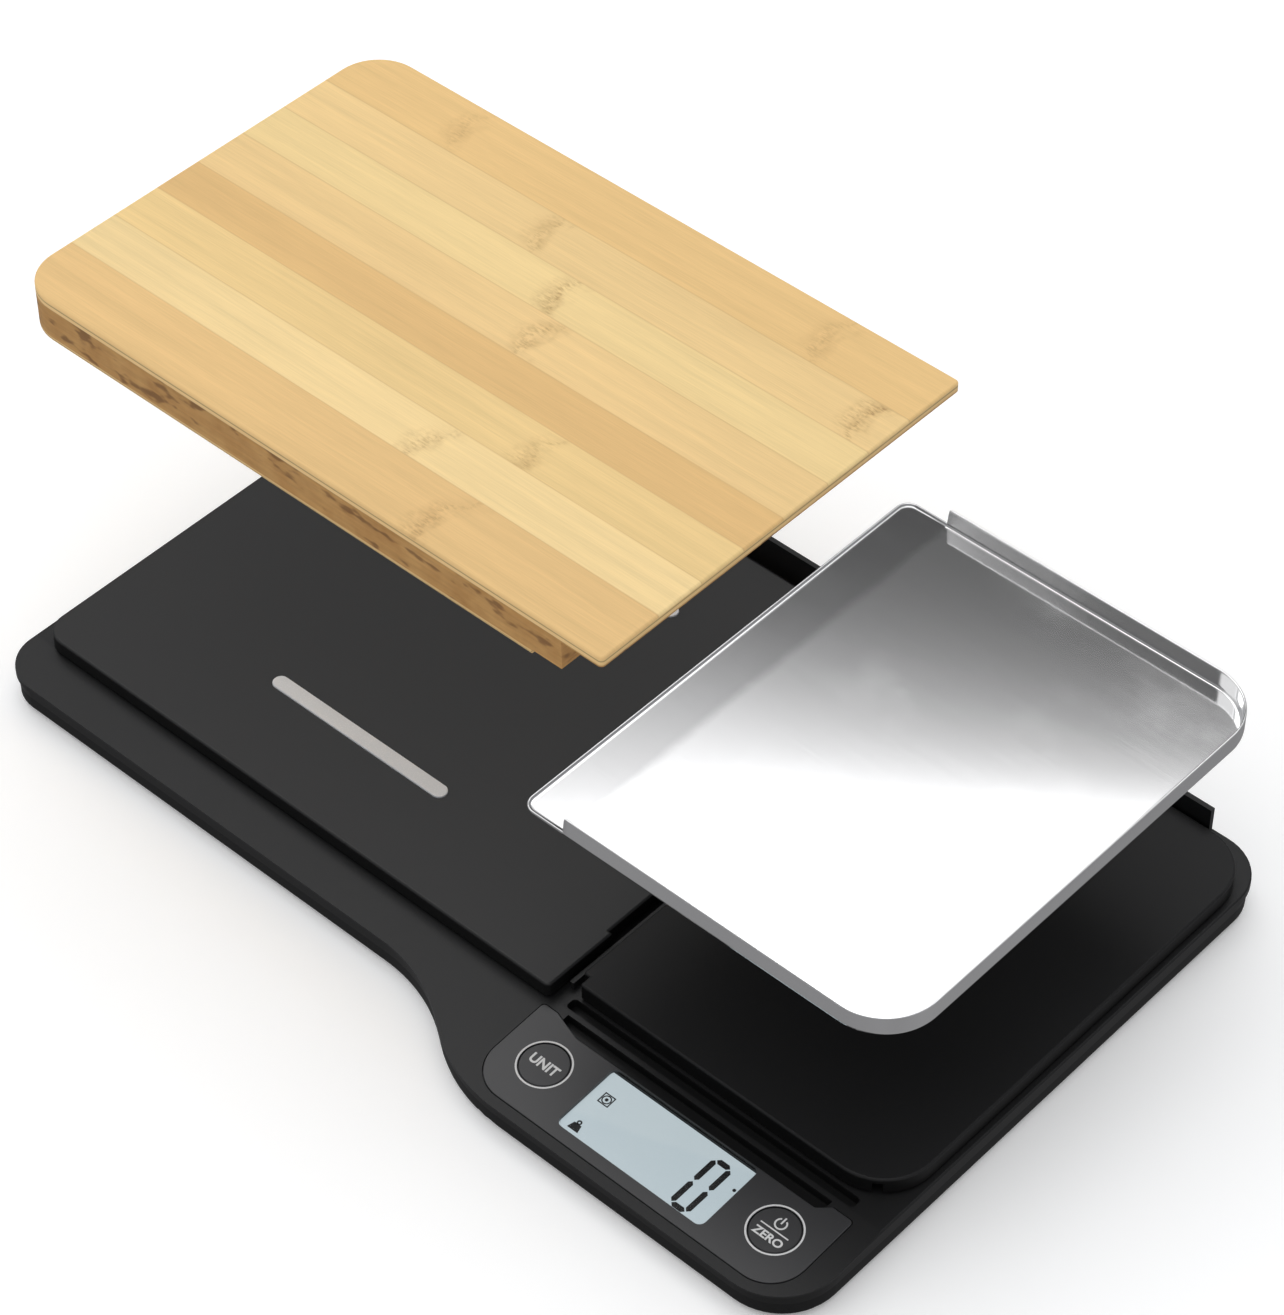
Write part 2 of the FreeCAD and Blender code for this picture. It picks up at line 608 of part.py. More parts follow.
def buttons():
    """The two round keys: a cap, a flange under the panel and a stem that ends over its switch."""
    radius, flange, top = c.button_radius, c.button_flange, c.panel_proud
    profile = [(0, -3.4), (2, -3.4), (2, -1.9), (flange, -1.9), (flange, -1.3), (radius, -1.3),
               (radius, top - 0.3), (radius - 0.3, top), (0, top)]
    for name, x in BUTTONS.items():
        sub_part(on_the_slope(turned(f"{name}_key", 0, 0, 0, profile), x, c.button_line), f"{name}_button")


def electronics():
    """The circuit board under the display with its switches, processor and connector strip."""
    level, thickness = c.circuit_level, c.circuit_thickness
    top = level + thickness
    edge = rectangle(c.circuit_from, c.circuit_front, c.circuit_to, c.circuit_back, 2)
    plate = prism("circuit_plate", edge, level, thickness)
    shank, head_height = c.circuit_screw_shank, 0.9
    holes = [rod(f"circuit_hole_{n}", x, y, 0, shank + c.hole_fit, 20)
             for n, (x, y) in enumerate(CIRCUIT_SCREWS)]
    sub_part(cut("circuit_cut", plate, *holes), "main_board")
    screws = [screw(f"circuit_screw_{n}", x, y, top + head_height, c.circuit_screw_head, shank, head_height,
                    c.circuit_screw_length, upward=False) for n, (x, y) in enumerate(CIRCUIT_SCREWS)]
    sub_part(group("circuit_screw_group", *screws), "main_board_screws")
    for name, x in BUTTONS.items():
        y = c.display_pivot + c.button_line * c.slope_run
        body = prism(f"{name}_switch_body", around(x, y, 6, 6, 0.6), top, 2.3)
        plunger = rod(f"{name}_plunger", x, y, top, 1.6, 3)
        sub_part(fused(f"{name}_switch_whole", body, plunger), f"{name}_switch")
    middle = c.window_from + c.window_length / 2
    front = c.display_pivot + c.window_front
    sub_part(prism("connector_strip", around(middle, front + 4, Size.of(44), Size.of(2.4), 0.4), top, 1.5),
             "lcd_connector")
    blob = turned("blob", middle, front + 14, top, [(0, 0), (5, 0), (4.6, 0.7), (3, 1.2), (0, 1.4)])
    sub_part(blob, "processor_blob")


# ---------------------------------------------------------------- power

def power():
    """Two coin cells over a hinged door, and the contact bridge over the cells."""
    x, y = door_middle
    level = floor_top + 0.2
    top = level + c.coin_height
    radius = c.coin_radius
    for number, way in enumerate((-1, 1), 1):
        profile = [(0, 0), (radius - 1.2, 0), (radius - 1.2, 0.2), (radius, 0.4), (radius, c.coin_height),
                   (0, c.coin_height)]
        sub_part(turned(f"coin_{number}", x + way * (radius + 2), y, level, profile), f"coin_cell_{number}")
    bridge = prism("contact_bridge", around(x, y, Size.of(40), Size.of(9), 1.5), top, 0.4)
    springs = [block(f"contact_spring_{n}", x + shift, y - 3, top + 0.3, 8, 6, c.tub_ceiling - top - 0.3)
               for n, shift in enumerate((-17, 9))]
    sub_part(fused("contact_whole", bridge, *springs), "battery_contacts")
    gap, thickness = c.door_gap, c.door_thickness
    length = c.door_length - 2 * gap
    front = y - c.door_width / 2 + gap
    low = c.door_axis_level - thickness / 2
    plate = block("door_plate", x - length / 2, front, low, length, door_hinge - front, thickness)
    barrel = rod("door_barrel", x - length / 2, door_hinge, c.door_axis_level,
                 thickness / 2, length, (1, 0, 0))
    pin = rod("door_pin", x - length / 2 - 1, door_hinge, c.door_axis_level,
              c.door_pin, length + 2, (1, 0, 0))
    notch = rod("door_notch", x, front, 0, 6, low + 0.6)
    sub_part(cut("door_cut", fused("door_whole", plate, barrel, pin), notch), "battery_door")


# ---------------------------------------------------------------- what rests on the platforms

def cutting_board():
    """The bamboo board: a thick block whose top ply runs on as a lip over the tray's low edge."""
    low = c.tray_seat + c.board_raised
    top = low + c.board_thickness
    front, back = c.board_front, c.board_back
    west, east, block_end = c.board_from, c.board_to, c.board_block_to
    large, small = c.board_corner, c.board_small_corner
    edge = [(west, front, large), (east, front, small), (east, back, small), (west, back, large)]
    slab = prism("board_slab", edge, low, c.board_thickness, hem=c.board_edge, brow=c.board_edge)
    ways = [
        block("lip_way", block_end, front - 5, low - 5, 40, back - front + 10,
              c.board_thickness - c.board_lip + 5),
        block("rebate_way", block_end - c.board_rebate_width, front - 5, low - 5, 40, back - front + 10,
              c.board_rebate_height + 5),
    ]
    return sub_part(cut("board_cut", slab, *ways), "cutting_board")


def serving_tray():
    """The pressed steel tray: walls on three sides and a low open edge towards the board."""
    low = c.tray_seat + c.tray_raised
    sheet_metal = c.tray_sheet
    walls = low + c.tray_wall

    def shape(name, inset, level, height, bend):
        west, east = c.tray_from + inset, c.tray_to - inset
        front, back = c.tray_front + inset, c.tray_back - inset
        large, small = c.tray_corner - inset, c.tray_small_corner - inset
        corners = [(west, front, small), (east, front, large), (east, back, large), (west, back, small)]
        return prism(name, corners, level, height, hem=bend)

    outer = shape("tray_outer", Size.of(0), low, c.tray_wall, c.tray_bend)
    inner = shape("tray_inner", sheet_metal, low + sheet_metal, c.tray_wall, c.tray_bend - sheet_metal)
    margin = block("margin_way", c.tray_from - 5, c.tray_front - 5, low + c.tray_low_wall,
                   c.tray_low_margin + 5, c.tray_back - c.tray_front + 10, walls - low)
    return sub_part(cut("tray_cut", outer, inner, margin), "serving_tray")


# ---------------------------------------------------------------- making and writing

lower_housing()
upper_housing()
feet()
housing_screws()
load_cells()
platforms()
display_panel()
display_stack()
buttons()
electronics()
power()
cutting_board()
serving_tray()
doc.recompute()

for thing in doc.Objects:
    if "Invalid" in thing.State or "Error" in thing.State:
        raise RuntimeError(f"{thing.Name} failed: {thing.State}")
for thing in SUB_PARTS:
    if thing.Shape.isNull() or not thing.Shape.isValid():
        raise RuntimeError(f"{thing.Label} has no valid shape")
for thing in SUB_PARTS:
    thing.Shape.exportStep(f"parts/{thing.Label}.step")
    print(f"{thing.Label}: {len(thing.Shape.Solids)} solids, {thing.Shape.Volume:.0f} mm3")
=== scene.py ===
"""Looks for a two-platform kitchen scale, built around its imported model.

Metres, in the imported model's own frame: +X along the long side, +Y towards the back, +Z up.
"""
import json
import logging
import math
from abc import ABC, abstractmethod
from dataclasses import dataclass
from enum import Enum
from typing import Any, Iterable, Sequence

import bmesh
import bpy
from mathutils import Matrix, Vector


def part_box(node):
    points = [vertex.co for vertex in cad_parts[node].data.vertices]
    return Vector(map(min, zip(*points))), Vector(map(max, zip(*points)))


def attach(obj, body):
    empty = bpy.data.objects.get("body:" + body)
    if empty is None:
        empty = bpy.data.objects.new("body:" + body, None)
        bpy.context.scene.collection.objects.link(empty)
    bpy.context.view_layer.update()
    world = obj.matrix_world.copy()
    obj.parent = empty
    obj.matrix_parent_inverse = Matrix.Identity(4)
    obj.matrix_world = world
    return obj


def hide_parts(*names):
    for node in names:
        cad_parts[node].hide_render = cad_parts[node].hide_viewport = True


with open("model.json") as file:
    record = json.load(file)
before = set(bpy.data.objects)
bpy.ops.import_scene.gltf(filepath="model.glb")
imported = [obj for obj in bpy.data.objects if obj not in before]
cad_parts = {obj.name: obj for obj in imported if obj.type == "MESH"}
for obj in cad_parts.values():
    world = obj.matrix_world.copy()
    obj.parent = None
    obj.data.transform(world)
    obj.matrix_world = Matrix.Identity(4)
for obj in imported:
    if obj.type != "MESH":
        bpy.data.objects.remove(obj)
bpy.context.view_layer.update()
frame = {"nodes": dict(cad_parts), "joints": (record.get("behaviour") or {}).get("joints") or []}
NODES: dict[str, bpy.types.Object] = frame["nodes"]
LOG = logging.getLogger("kitchen_scale")
MM = 0.001
Colour = tuple[float, float, float, float]
Place = tuple[float, float, float]
Outline = list[tuple[float, float]]


# ---------------------------------------------------------------- shader maths

class Wire:
    """One socket of a material's nodes, which can be used in expressions."""

    def __init__(self, graph: "Graph", socket: bpy.types.NodeSocket) -> None:
        """Keeps the socket and the graph that it belongs to."""
        self.graph = graph
        self.socket = socket

    def __add__(self, other: "Wire | float") -> "Wire":
        """Sum."""
        return self.graph.maths("ADD", self, other)

    def __radd__(self, other: "Wire | float") -> "Wire":
        """Sum with the number first."""
        return self.graph.maths("ADD", other, self)

    def __sub__(self, other: "Wire | float") -> "Wire":
        """Difference."""
        return self.graph.maths("SUBTRACT", self, other)

    def __rsub__(self, other: "Wire | float") -> "Wire":
        """Difference with the number first."""
        return self.graph.maths("SUBTRACT", other, self)

    def __mul__(self, other: "Wire | float") -> "Wire":
        """Product."""
        return self.graph.maths("MULTIPLY", self, other)

    def __rmul__(self, other: "Wire | float") -> "Wire":
        """Product with the number first."""
        return self.graph.maths("MULTIPLY", other, self)

    def __truediv__(self, other: "Wire | float") -> "Wire":
        """Quotient."""
        return self.graph.maths("DIVIDE", self, other)

    def __pow__(self, other: "Wire | float") -> "Wire":
        """Power."""
        return self.graph.maths("POWER", self, other)

    def __gt__(self, other: "Wire | float") -> "Wire":
        """1 where this is larger, else 0."""
        return self.graph.maths("GREATER_THAN", self, other)

    def __lt__(self, other: "Wire | float") -> "Wire":
        """1 where this is smaller, else 0."""
        return self.graph.maths("LESS_THAN", self, other)

    def __abs__(self) -> "Wire":
        """Size without sign."""
        return self.graph.maths("ABSOLUTE", self)

    def over(self, low: float, high: float) -> "Wire":
        """Runs smoothly from 0 at low to 1 at high.

        Args:
            low: the value that gives 0.
            high: the value that gives 1.

        Returns:
            The clamped ramp.
        """
        return self.graph.add("ShaderNodeMapRange", {"interpolation_type": "SMOOTHSTEP"},
                              {"Value": self, "From Min": low, "From Max": high})


class Graph:
    """The node tree of one material, and the ways to add nodes to it."""

    def __init__(self, name: str) -> None:
        """Starts an empty material.

        Args:
            name: the material's name.
        """
        self.material = bpy.data.materials.new(name)
        self.material.use_nodes = True
        self.tree = self.material.node_tree
        self.tree.nodes.clear()

    def add(self, kind: str, settings: dict[str, Any] | None = None,
            sockets: dict[Any, Any] | None = None, output: int | str = 0) -> Wire:
        """Adds one node.

        Args:
            kind: the node's type.
            settings: its properties, set first; "stops" holds a ramp's places and colours.
            sockets: values or wires for its inputs, by name or number.
            output: which output is wanted.

        Returns:
            The wire of that output.
        """
        node = self.tree.nodes.new(kind)
        for name, value in (settings or {}).items():
            if name == "stops":
                self._set_stops(node.color_ramp, value)
            else:
                setattr(node, name, value)
        for name, value in (sockets or {}).items():
            if isinstance(value, Wire):
                self.tree.links.new(value.socket, node.inputs[name])
            else:
                node.inputs[name].default_value = value
        return Wire(self, node.outputs[output])

    @staticmethod
    def _set_stops(ramp: bpy.types.ColorRamp, stops: Sequence[tuple[float, Colour]]) -> None:
        """Gives a colour ramp its stops."""
        ramp.interpolation = "CONSTANT"
        while len(ramp.elements) > 1:
            ramp.elements.remove(ramp.elements[-1])
        for number, (place, colour) in enumerate(stops):
            element = ramp.elements[0] if number == 0 else ramp.elements.new(place)
            element.position = place
            element.color = colour

    def maths(self, operation: str, first: Wire | float, second: Wire | float | None = None) -> Wire:
        """One Math node.

        Args:
            operation: what it works out.
            first: its first value.
            second: its second value, if it takes two.

        Returns:
            The result.
        """
        sockets: dict[Any, Any] = {0: first}
        if second is not None:
            sockets[1] = second
        return self.add("ShaderNodeMath", {"operation": operation}, sockets)

    def place(self) -> Wire:
        """The point on the piece, in the object's own metres."""
        return self.add("ShaderNodeTexCoord", output="Object")

    def axes(self) -> tuple[Wire, Wire, Wire]:
        """The point's x, y and z."""
        parts = self.add("ShaderNodeSeparateXYZ", sockets={"Vector": self.place()})
        outputs = parts.socket.node.outputs
        return Wire(self, outputs[0]), Wire(self, outputs[1]), Wire(self, outputs[2])

    def vector(self, x: Wire | float, y: Wire | float, z: Wire | float) -> Wire:
        """A vector from its three parts."""
        return self.add("ShaderNodeCombineXYZ", sockets={0: x, 1: y, 2: z})

    def noise(self, vector: Wire, scale: float, detail: float = 2.0, roughness: float = 0.5) -> Wire:
        """Smooth noise about 0.5.

        Args:
            vector: where it is read.
            scale: how fine it is, per metre.
            detail: its octaves.
            roughness: how strong the finer octaves are.

        Returns:
            The noise's value.
        """
        return self.add("ShaderNodeTexNoise", {"noise_dimensions": "3D"},
                        {"Vector": vector, "Scale": scale, "Detail": detail, "Roughness": roughness})

    def mix(self, first: Wire | Colour, second: Wire | Colour, share: Wire | float) -> Wire:
        """A blend of two colours.

        Args:
            first: the colour at share 0.
            second: the colour at share 1.
            share: how much of the second.

        Returns:
            The blended colour.
        """
        return self.add("ShaderNodeMix", {"data_type": "RGBA", "clamp_factor": True},
                        {0: share, 6: first, 7: second}, output=2)

    def tint(self, colour: Wire | Colour, by: Wire) -> Wire:
        """A colour made lighter or darker by a number about 1."""
        base = colour if isinstance(colour, Wire) else colour[:3]
        return self.add("ShaderNodeVectorMath", {"operation": "SCALE"}, {0: base, "Scale": by})

    def bump(self, height: Wire, depth: float, strength: float = 1.0) -> Wire:
        """Surface relief.

        Args:
            height: the relief, 0 to 1.
            depth: what 1 stands for, in metres.
            strength: how much of it shows.

        Returns:
            The bent normal.
        """
        return self.add("ShaderNodeBump", sockets={"Height": height, "Distance": depth, "Strength": strength})

    def finish(self, **sockets: Any) -> bpy.types.Material:
        """Ends the material in one Principled shader.

        Args:
            **sockets: values or wires for the shader, with spaces in names written as underscores.

        Returns:
            The material.
        """
        shader = self.add("ShaderNodeBsdfPrincipled",
                          sockets={name.replace("_", " "): value for name, value in sockets.items()})
        self.add_output(shader)
        return self.material

    def add_output(self, shader: Wire) -> None:
        """Sends a shader to the surface."""
        output = self.tree.nodes.new("ShaderNodeOutputMaterial")
        self.tree.links.new(shader.socket, output.inputs["Surface"])


# ---------------------------------------------------------------- finishes

class Finish(ABC):
    """A surface finish that makes its material once."""

    name: str
    _made: dict["Finish", bpy.types.Material] = {}

    @abstractmethod
    def make(self) -> bpy.types.Material:
        """Builds the material."""

    def material(self) -> bpy.types.Material:
        """The finish's one material, built when it is first asked for."""
        if self not in Finish._made:
            Finish._made[self] = self.make()
        return Finish._made[self]


@dataclass(frozen=True)
class FlankShadeLevel:
    """The level of a piece's upper face, under which painted shade darkens its flanks.

    Attributes:
        level: the upper face's height.
        pivot: the y in front of which the face slopes down.
        fall: how steeply it does so.
    """

    level: float
    pivot: float = 0.0
    fall: float = 0.0


@dataclass(frozen=True)
class MouldedPlastic(Finish):
    """Injection-moulded plastic with a spark-eroded grain, faint flow marks, a little wear and, where a deck
    is given, painted shade on its flanks.

    Attributes:
        name: the material's name.
        colour: the plastic's colour.
        roughness: how matt it is.
        grain: how fine the grain is, per metre.
        relief: how deep the grain is.
        scuffs: how much rougher a scuff is.
        specular: the strength of its reflection, 0.5 for common plastic.
        deck: the level under which the flanks, which take less light, get painted shade, if they are to.
        flank: the painted shade's colour on the flanks, as a share of the plastic's.
    """

    name: str
    colour: Colour
    roughness: float = 0.42
    grain: float = 2600.0
    relief: float = 0.02 * MM
    scuffs: float = 0.05
    specular: float = 0.5
    deck: FlankShadeLevel | None = None
    flank: float = 0.35

    def make(self) -> bpy.types.Material:
        """Builds the material."""
        graph = Graph(self.name)
        place = graph.place()
        clouds = graph.noise(place, 14.0, 3.0)
        grain = graph.noise(place, self.grain, 2.0, 0.6)
        x, y, z = graph.axes()
        scratches = graph.noise(graph.vector(x * 90 + y * 40, y * 900 - x * 500, z * 300), 1.0, 4.0, 0.7)
        scuff = scratches.over(0.66, 0.78)
        # painted shade: a darker copy of the plastic for the flanks under the deck level, standing in for the
        # light they miss
        dark = tuple(part * self.flank for part in self.colour[:3]) + (1.0,)
        share: Wire | float = 0.0
        if self.deck:
            slope = graph.maths("MINIMUM", y - self.deck.pivot, 0.0) * self.deck.fall
            share = (self.deck.level + slope - z).over(0.5 * MM, 1.1 * MM)
        colour = graph.tint(graph.mix(self.colour, dark, share), 0.86 + clouds * 0.28 + grain * 0.08)
        roughness = self.roughness + (clouds - 0.5) * 0.08 + (grain - 0.5) * 0.06 + scuff * self.scuffs
        return graph.finish(Base_Color=colour, Roughness=roughness, Specular_IOR_Level=self.specular,
                            Normal=graph.bump(grain, self.relief), IOR=1.46)


@dataclass(frozen=True)
class Rubber(Finish):
    """Matt rubber with a dusty bloom."""

    name: str
    colour: Colour
    speckle: Colour
    amount: float = 0.2

    def make(self) -> bpy.types.Material:
        """Builds the material."""
        graph = Graph(self.name)
        place = graph.place()
        bloom = graph.noise(place, 60.0, 4.0)
        specks = graph.noise(place, 2400.0, 1.0).over(0.55, 0.68)
        colour = graph.mix(self.colour, self.speckle, specks * self.amount + bloom.over(0.4, 0.9) * 0.15)
        return graph.finish(Base_Color=colour, Roughness=0.62 + bloom * 0.2,
                            Normal=graph.bump(specks, 0.03 * MM), IOR=1.5)


@dataclass(frozen=True)
class Steel(Finish):
    """Sheet metal: bright, satin, with fine drawing marks along X and a few fingerprints.

    Attributes:
        name: the material's name.
        colour: the metal's colour.
        roughness: how satin it is.
        marks: how much the drawing marks change the roughness.
        smears: how much rougher a fingerprint is.
        relief: how deep the marks are.
        strength: how much of the relief shows.
    """

    name: str
    colour: Colour
    roughness: float
    marks: float = 0.05
    smears: float = 0.06
    relief: float = 0.002 * MM
    strength: float = 0.5

    def base(self, graph: Graph, x: Wire, smear: Wire) -> Wire | Colour:
        """The metal's colour without its marks."""
        return self.colour

    def make(self) -> bpy.types.Material:
        """Builds the material."""
        graph = Graph(self.name)
        x, y, z = graph.axes()
        drawn = graph.noise(graph.vector(x * 30, y * 5200, z * 5200), 1.0, 3.0, 0.6)
        smear = graph.noise(graph.place(), 22.0, 5.0, 0.6)
        colour = graph.tint(self.base(graph, x, smear), 0.97 + drawn * 0.06)
        roughness = self.roughness + (drawn - 0.5) * self.marks + smear.over(0.45, 0.85) * self.smears
        return graph.finish(Base_Color=colour, Metallic=1.0, Roughness=roughness,
                            Normal=graph.bump(drawn, self.relief, self.strength))


@dataclass(frozen=True)
class TraySteel(Steel):
    """The tray's sheet, with painted shade along the margin under the board's lip.

    Attributes:
        left: the tray's left end.
        margin: how wide the painted shade is.
        fade: over what length it ends.
        lip_shade: the painted shade's colour.
    """

    left: float = 0.0
    margin: float = 0.0
    fade: float = 5.0 * MM
    lip_shade: Colour = (0.64, 0.64, 0.645, 1.0)

    def base(self, graph: Graph, x: Wire, smear: Wire) -> Wire:
        """The metal's colour without its marks, with painted shade on the margin under the board's lip."""
        # painted shade: the steel darkens over the margin next to the left end, under the board's lip
        share = 1.0 - (x - self.left + smear * 0.004).over(self.margin, self.margin + self.fade)
        return graph.mix(self.colour, self.lip_shade, share)


@dataclass(frozen=True)
class ClearWindow(Finish):
    """A thin hard-coated acrylic window: you see through it, and it takes a soft reflection.

    Attributes:
        name: the material's name.
        head_on: the share of light that it throws back when seen straight on.
    """

    name: str = "clear_window"
    head_on: float = 0.04

    def make(self) -> bpy.types.Material:
        """Builds the material."""
        graph = Graph(self.name)
        haze = graph.noise(graph.place(), 90.0, 3.0)
        clear = graph.add("ShaderNodeBsdfTransparent")
        gloss = graph.add("ShaderNodeBsdfPrincipled", sockets={
            "Base Color": (0.0, 0.0, 0.0, 1.0), "Roughness": 0.06 + haze * 0.08, "IOR": 1.49})
        glancing = graph.add("ShaderNodeLayerWeight", sockets={"Blend": 0.5}, output="Facing")
        share = self.head_on + glancing ** 5.0 * (1.0 - self.head_on)
        graph.add_output(graph.add("ShaderNodeMixShader", sockets={0: share, 1: clear, 2: gloss}))
        return graph.material


@dataclass(frozen=True)
class LitGlass(Finish):
    """The liquid crystal glass, lit from behind with a pale blue-white light, with a painted diagonal sheen.

    Attributes:
        name: the material's name.
        low: the light's bluer colour.
        high: its paler colour.
        strength: how bright it is.
    """

    name: str
    low: Colour = (0.63, 0.78, 0.86, 1.0)
    high: Colour = (0.82, 0.94, 0.98, 1.0)
    strength: float = 0.61

    def make(self) -> bpy.types.Material:
        """Builds the material."""
        graph = Graph(self.name)
        x, y, _ = graph.axes()
        cell = graph.noise(graph.place(), 1800.0, 1.0)
        wash = graph.noise(graph.place(), 30.0, 2.0)
        # painted sheen: a soft diagonal band lightens the glass towards its back left
        band = (y * 1.6 - x * 0.5 + wash * 0.004).over(-0.206, -0.202)
        colour = graph.mix(self.low, self.high, 0.35 + band * 0.2 + wash * 0.4 + cell * 0.1)
        return graph.finish(Base_Color=(0.05, 0.06, 0.07, 1.0), Emission_Color=colour,
                            Emission_Strength=self.strength, Roughness=0.3 + cell * 0.1)


@dataclass(frozen=True)
class Ink(Finish):
    """Screen-printed or etched marking with slightly uneven cover."""

    name: str
    colour: Colour
    roughness: float = 0.5

    def make(self) -> bpy.types.Material:
        """Builds the material."""
        graph = Graph(self.name)
        mottle = graph.noise(graph.place(), 3200.0, 2.0)
        colour = graph.tint(self.colour, 0.88 + mottle * 0.2)
        return graph.finish(Base_Color=colour, Roughness=self.roughness + mottle * 0.1,
                            Normal=graph.bump(mottle, 0.005 * MM))


@dataclass(frozen=True)
class CircuitBoard(Finish):
    """Green solder mask over copper tracks, with bare gold pads."""

    name: str = "circuit_board_mask"

    def make(self) -> bpy.types.Material:
        """Builds the material."""
        graph = Graph(self.name)
        x, y, _ = graph.axes()
        cells = graph.add("ShaderNodeTexBrick", {"offset": 0.37}, {
            "Vector": graph.vector(x * 160, y * 160, 0.0), "Scale": 1.0, "Mortar Size": 0.06}, "Fac")
        pads = graph.add("ShaderNodeTexVoronoi", {"feature": "F1"}, {
            "Vector": graph.place(), "Scale": 170.0}, "Distance") < 0.16
        mask = graph.mix((0.008, 0.09, 0.04, 1.0), (0.02, 0.2, 0.08, 1.0), cells)
        colour = graph.mix(mask, (0.75, 0.5, 0.16, 1.0), pads)
        return graph.finish(Base_Color=colour, Metallic=pads * 0.9, Roughness=0.34 + cells * 0.1,
                            Normal=graph.bump(cells, 0.03 * MM))


@dataclass(frozen=True)
class Bamboo(Finish):
    """Bonded bamboo: wide strips along X above a dark cross-bonded core and a pale bottom ply.

    Attributes:
        name: the material's name.
        back: the board's back edge, in metres.
        left: its left end.
        top: its top face.
        bottom: its lower face.
        depth: its size from front to back.
    """

    name: str
    back: float
    left: float
    top: float
    bottom: float
    depth: float

    # from the back: each strip's colour, then the seams between them as shares of the depth
    TONES = (
        (0.84, 0.565, 0.246), (0.875, 0.622, 0.290), (0.897, 0.668, 0.316), (0.868, 0.611, 0.284),
        (0.792, 0.515, 0.218), (0.875, 0.629, 0.285), (0.918, 0.686, 0.336), (0.815, 0.543, 0.240),
    )
    SEAMS = (0.150, 0.270, 0.385, 0.510, 0.620, 0.735, 0.850)
    SEAM_HALF = 0.0016
    # each knuckle's strip, its distance from the left end in millimetres and its strength
    KNUCKLES = (
        (0, 50, 0.6), (0, 203, 0.7), (1, 105, 0.8), (1, 235, 1.3), (2, 129, 1.1), (3, 137, 1.0),
        (5, 173, 0.8), (6, 145, 0.8), (7, 170, 1.0),
    )
    KNUCKLE_BROWN = (0.46, 0.27, 0.105, 1.0)
    SEAM_BROWN = (0.58, 0.36, 0.16, 1.0)
    GLUE_BROWN = (0.27, 0.17, 0.055, 1.0)
    BLOT_BROWN = (0.13, 0.05, 0.016, 1.0)
    PLY_TONES = ((0.84, 0.60, 0.29, 1.0), (0.70, 0.46, 0.19, 1.0))
    CORE_TONES = ((0.37, 0.17, 0.04, 1.0), (0.60, 0.35, 0.12, 1.0))

    def make(self) -> bpy.types.Material:
        """Builds the material."""
        graph = Graph(self.name)
        x, y, z = graph.axes()
        along = x - self.left
        wobble = (graph.noise(graph.vector(x * 3, 0.0, 0.0), 1.0, 1.0) - 0.5) * 0.004
        depth = (self.back - y) / self.depth + wobble
        number: Wire | float = 0.0
        seam: Wire | float = 0.0
        for place in self.SEAMS:
            number = number + (depth > place)
            seam = seam + (abs(depth - place) < self.SEAM_HALF)
        shift = number * 0.37
        streak = graph.noise(graph.vector(along * 7 + shift, y * 240, shift), 1.0, 3.0, 0.55)
        fibre = graph.noise(graph.vector(along * 60 + shift, y * 2400, shift * 2), 1.0, 2.0, 0.6)
        drift = graph.noise(graph.vector(along * 9 + shift * 9, y * 14, shift), 1.0, 2.0)
        grain = 0.70 + streak * 0.24 + fibre * 0.22 + drift * 0.14
        knuckle = self._knuckles(graph, along, number, depth, y)
        top = graph.tint(self._strip_colour(graph, number), grain)
        top = graph.mix(top, self.KNUCKLE_BROWN, knuckle * 0.75)
        top = graph.mix(top, self.SEAM_BROWN, seam * 0.3)
        side, flank = self._edge(graph, x, y, z)
        relief = fibre * 0.5 + streak * 0.3 - knuckle * 0.35 - seam * 0.3
        colour = graph.mix(top, side, flank)
        return graph.finish(Base_Color=colour, Roughness=0.5 + fibre * 0.14 - knuckle * 0.05,
                            Specular_IOR_Level=0.3, Normal=graph.bump(relief, 0.04 * MM), IOR=1.45)

    def _strip_colour(self, graph: Graph, number: Wire) -> Wire:
        """Each strip's own tone.

        Args:
            graph: the material.
            number: the strip's number, from the back.

        Returns:
            The colour.
        """
        strips = len(self.TONES)
        stops = [(n / strips, (*tone, 1.0)) for n, tone in enumerate(self.TONES)]
        return graph.add("ShaderNodeValToRGB", {"stops": stops}, {"Fac": (number + 0.5) / strips})

    def _knuckles(self, graph: Graph, along: Wire, number: Wire, depth: Wire, y: Wire) -> Wire:
        """The culm's joints: a smudge of dark flecks across one strip, bowed a little.

        Args:
            graph: the material.
            along: distance from the left end.
            number: the strip's number.
            depth: place from the back, as a share of the board's depth.
            y: the point's y.

        Returns:
            How much darker the wood is, 0 to 1.
        """
        flecks = graph.noise(graph.vector(along * 330, y * 1100, 0.0), 1.0, 3.0, 0.65).over(0.40, 0.68)
        smudge = graph.noise(graph.vector(along * 170, y * 120, 5.0), 1.0, 2.0, 0.5).over(0.35, 0.65)
        offset = depth * float(len(self.TONES)) - number - 0.6
        bow = offset * offset * 0.012 + (smudge - 0.5) * 0.003
        inside = 1.0 - abs(offset).over(0.3, 0.55)
        total: Wire | float = 0.0
        for strip, place, weight in self.KNUCKLES:
            here = (abs(number - float(strip)) < 0.5) * weight
            away = along - place * MM - bow
            band = 1.0 - abs(away).over(0.0005, 0.0075)
            ridge = 1.0 - abs(away - 0.001).over(0.0003, 0.0018)
            dark = band * (flecks * 0.4 + smudge * 0.42) * (inside * 0.7 + 0.3) + ridge * flecks * 0.35
            total = total + here * dark
        return total

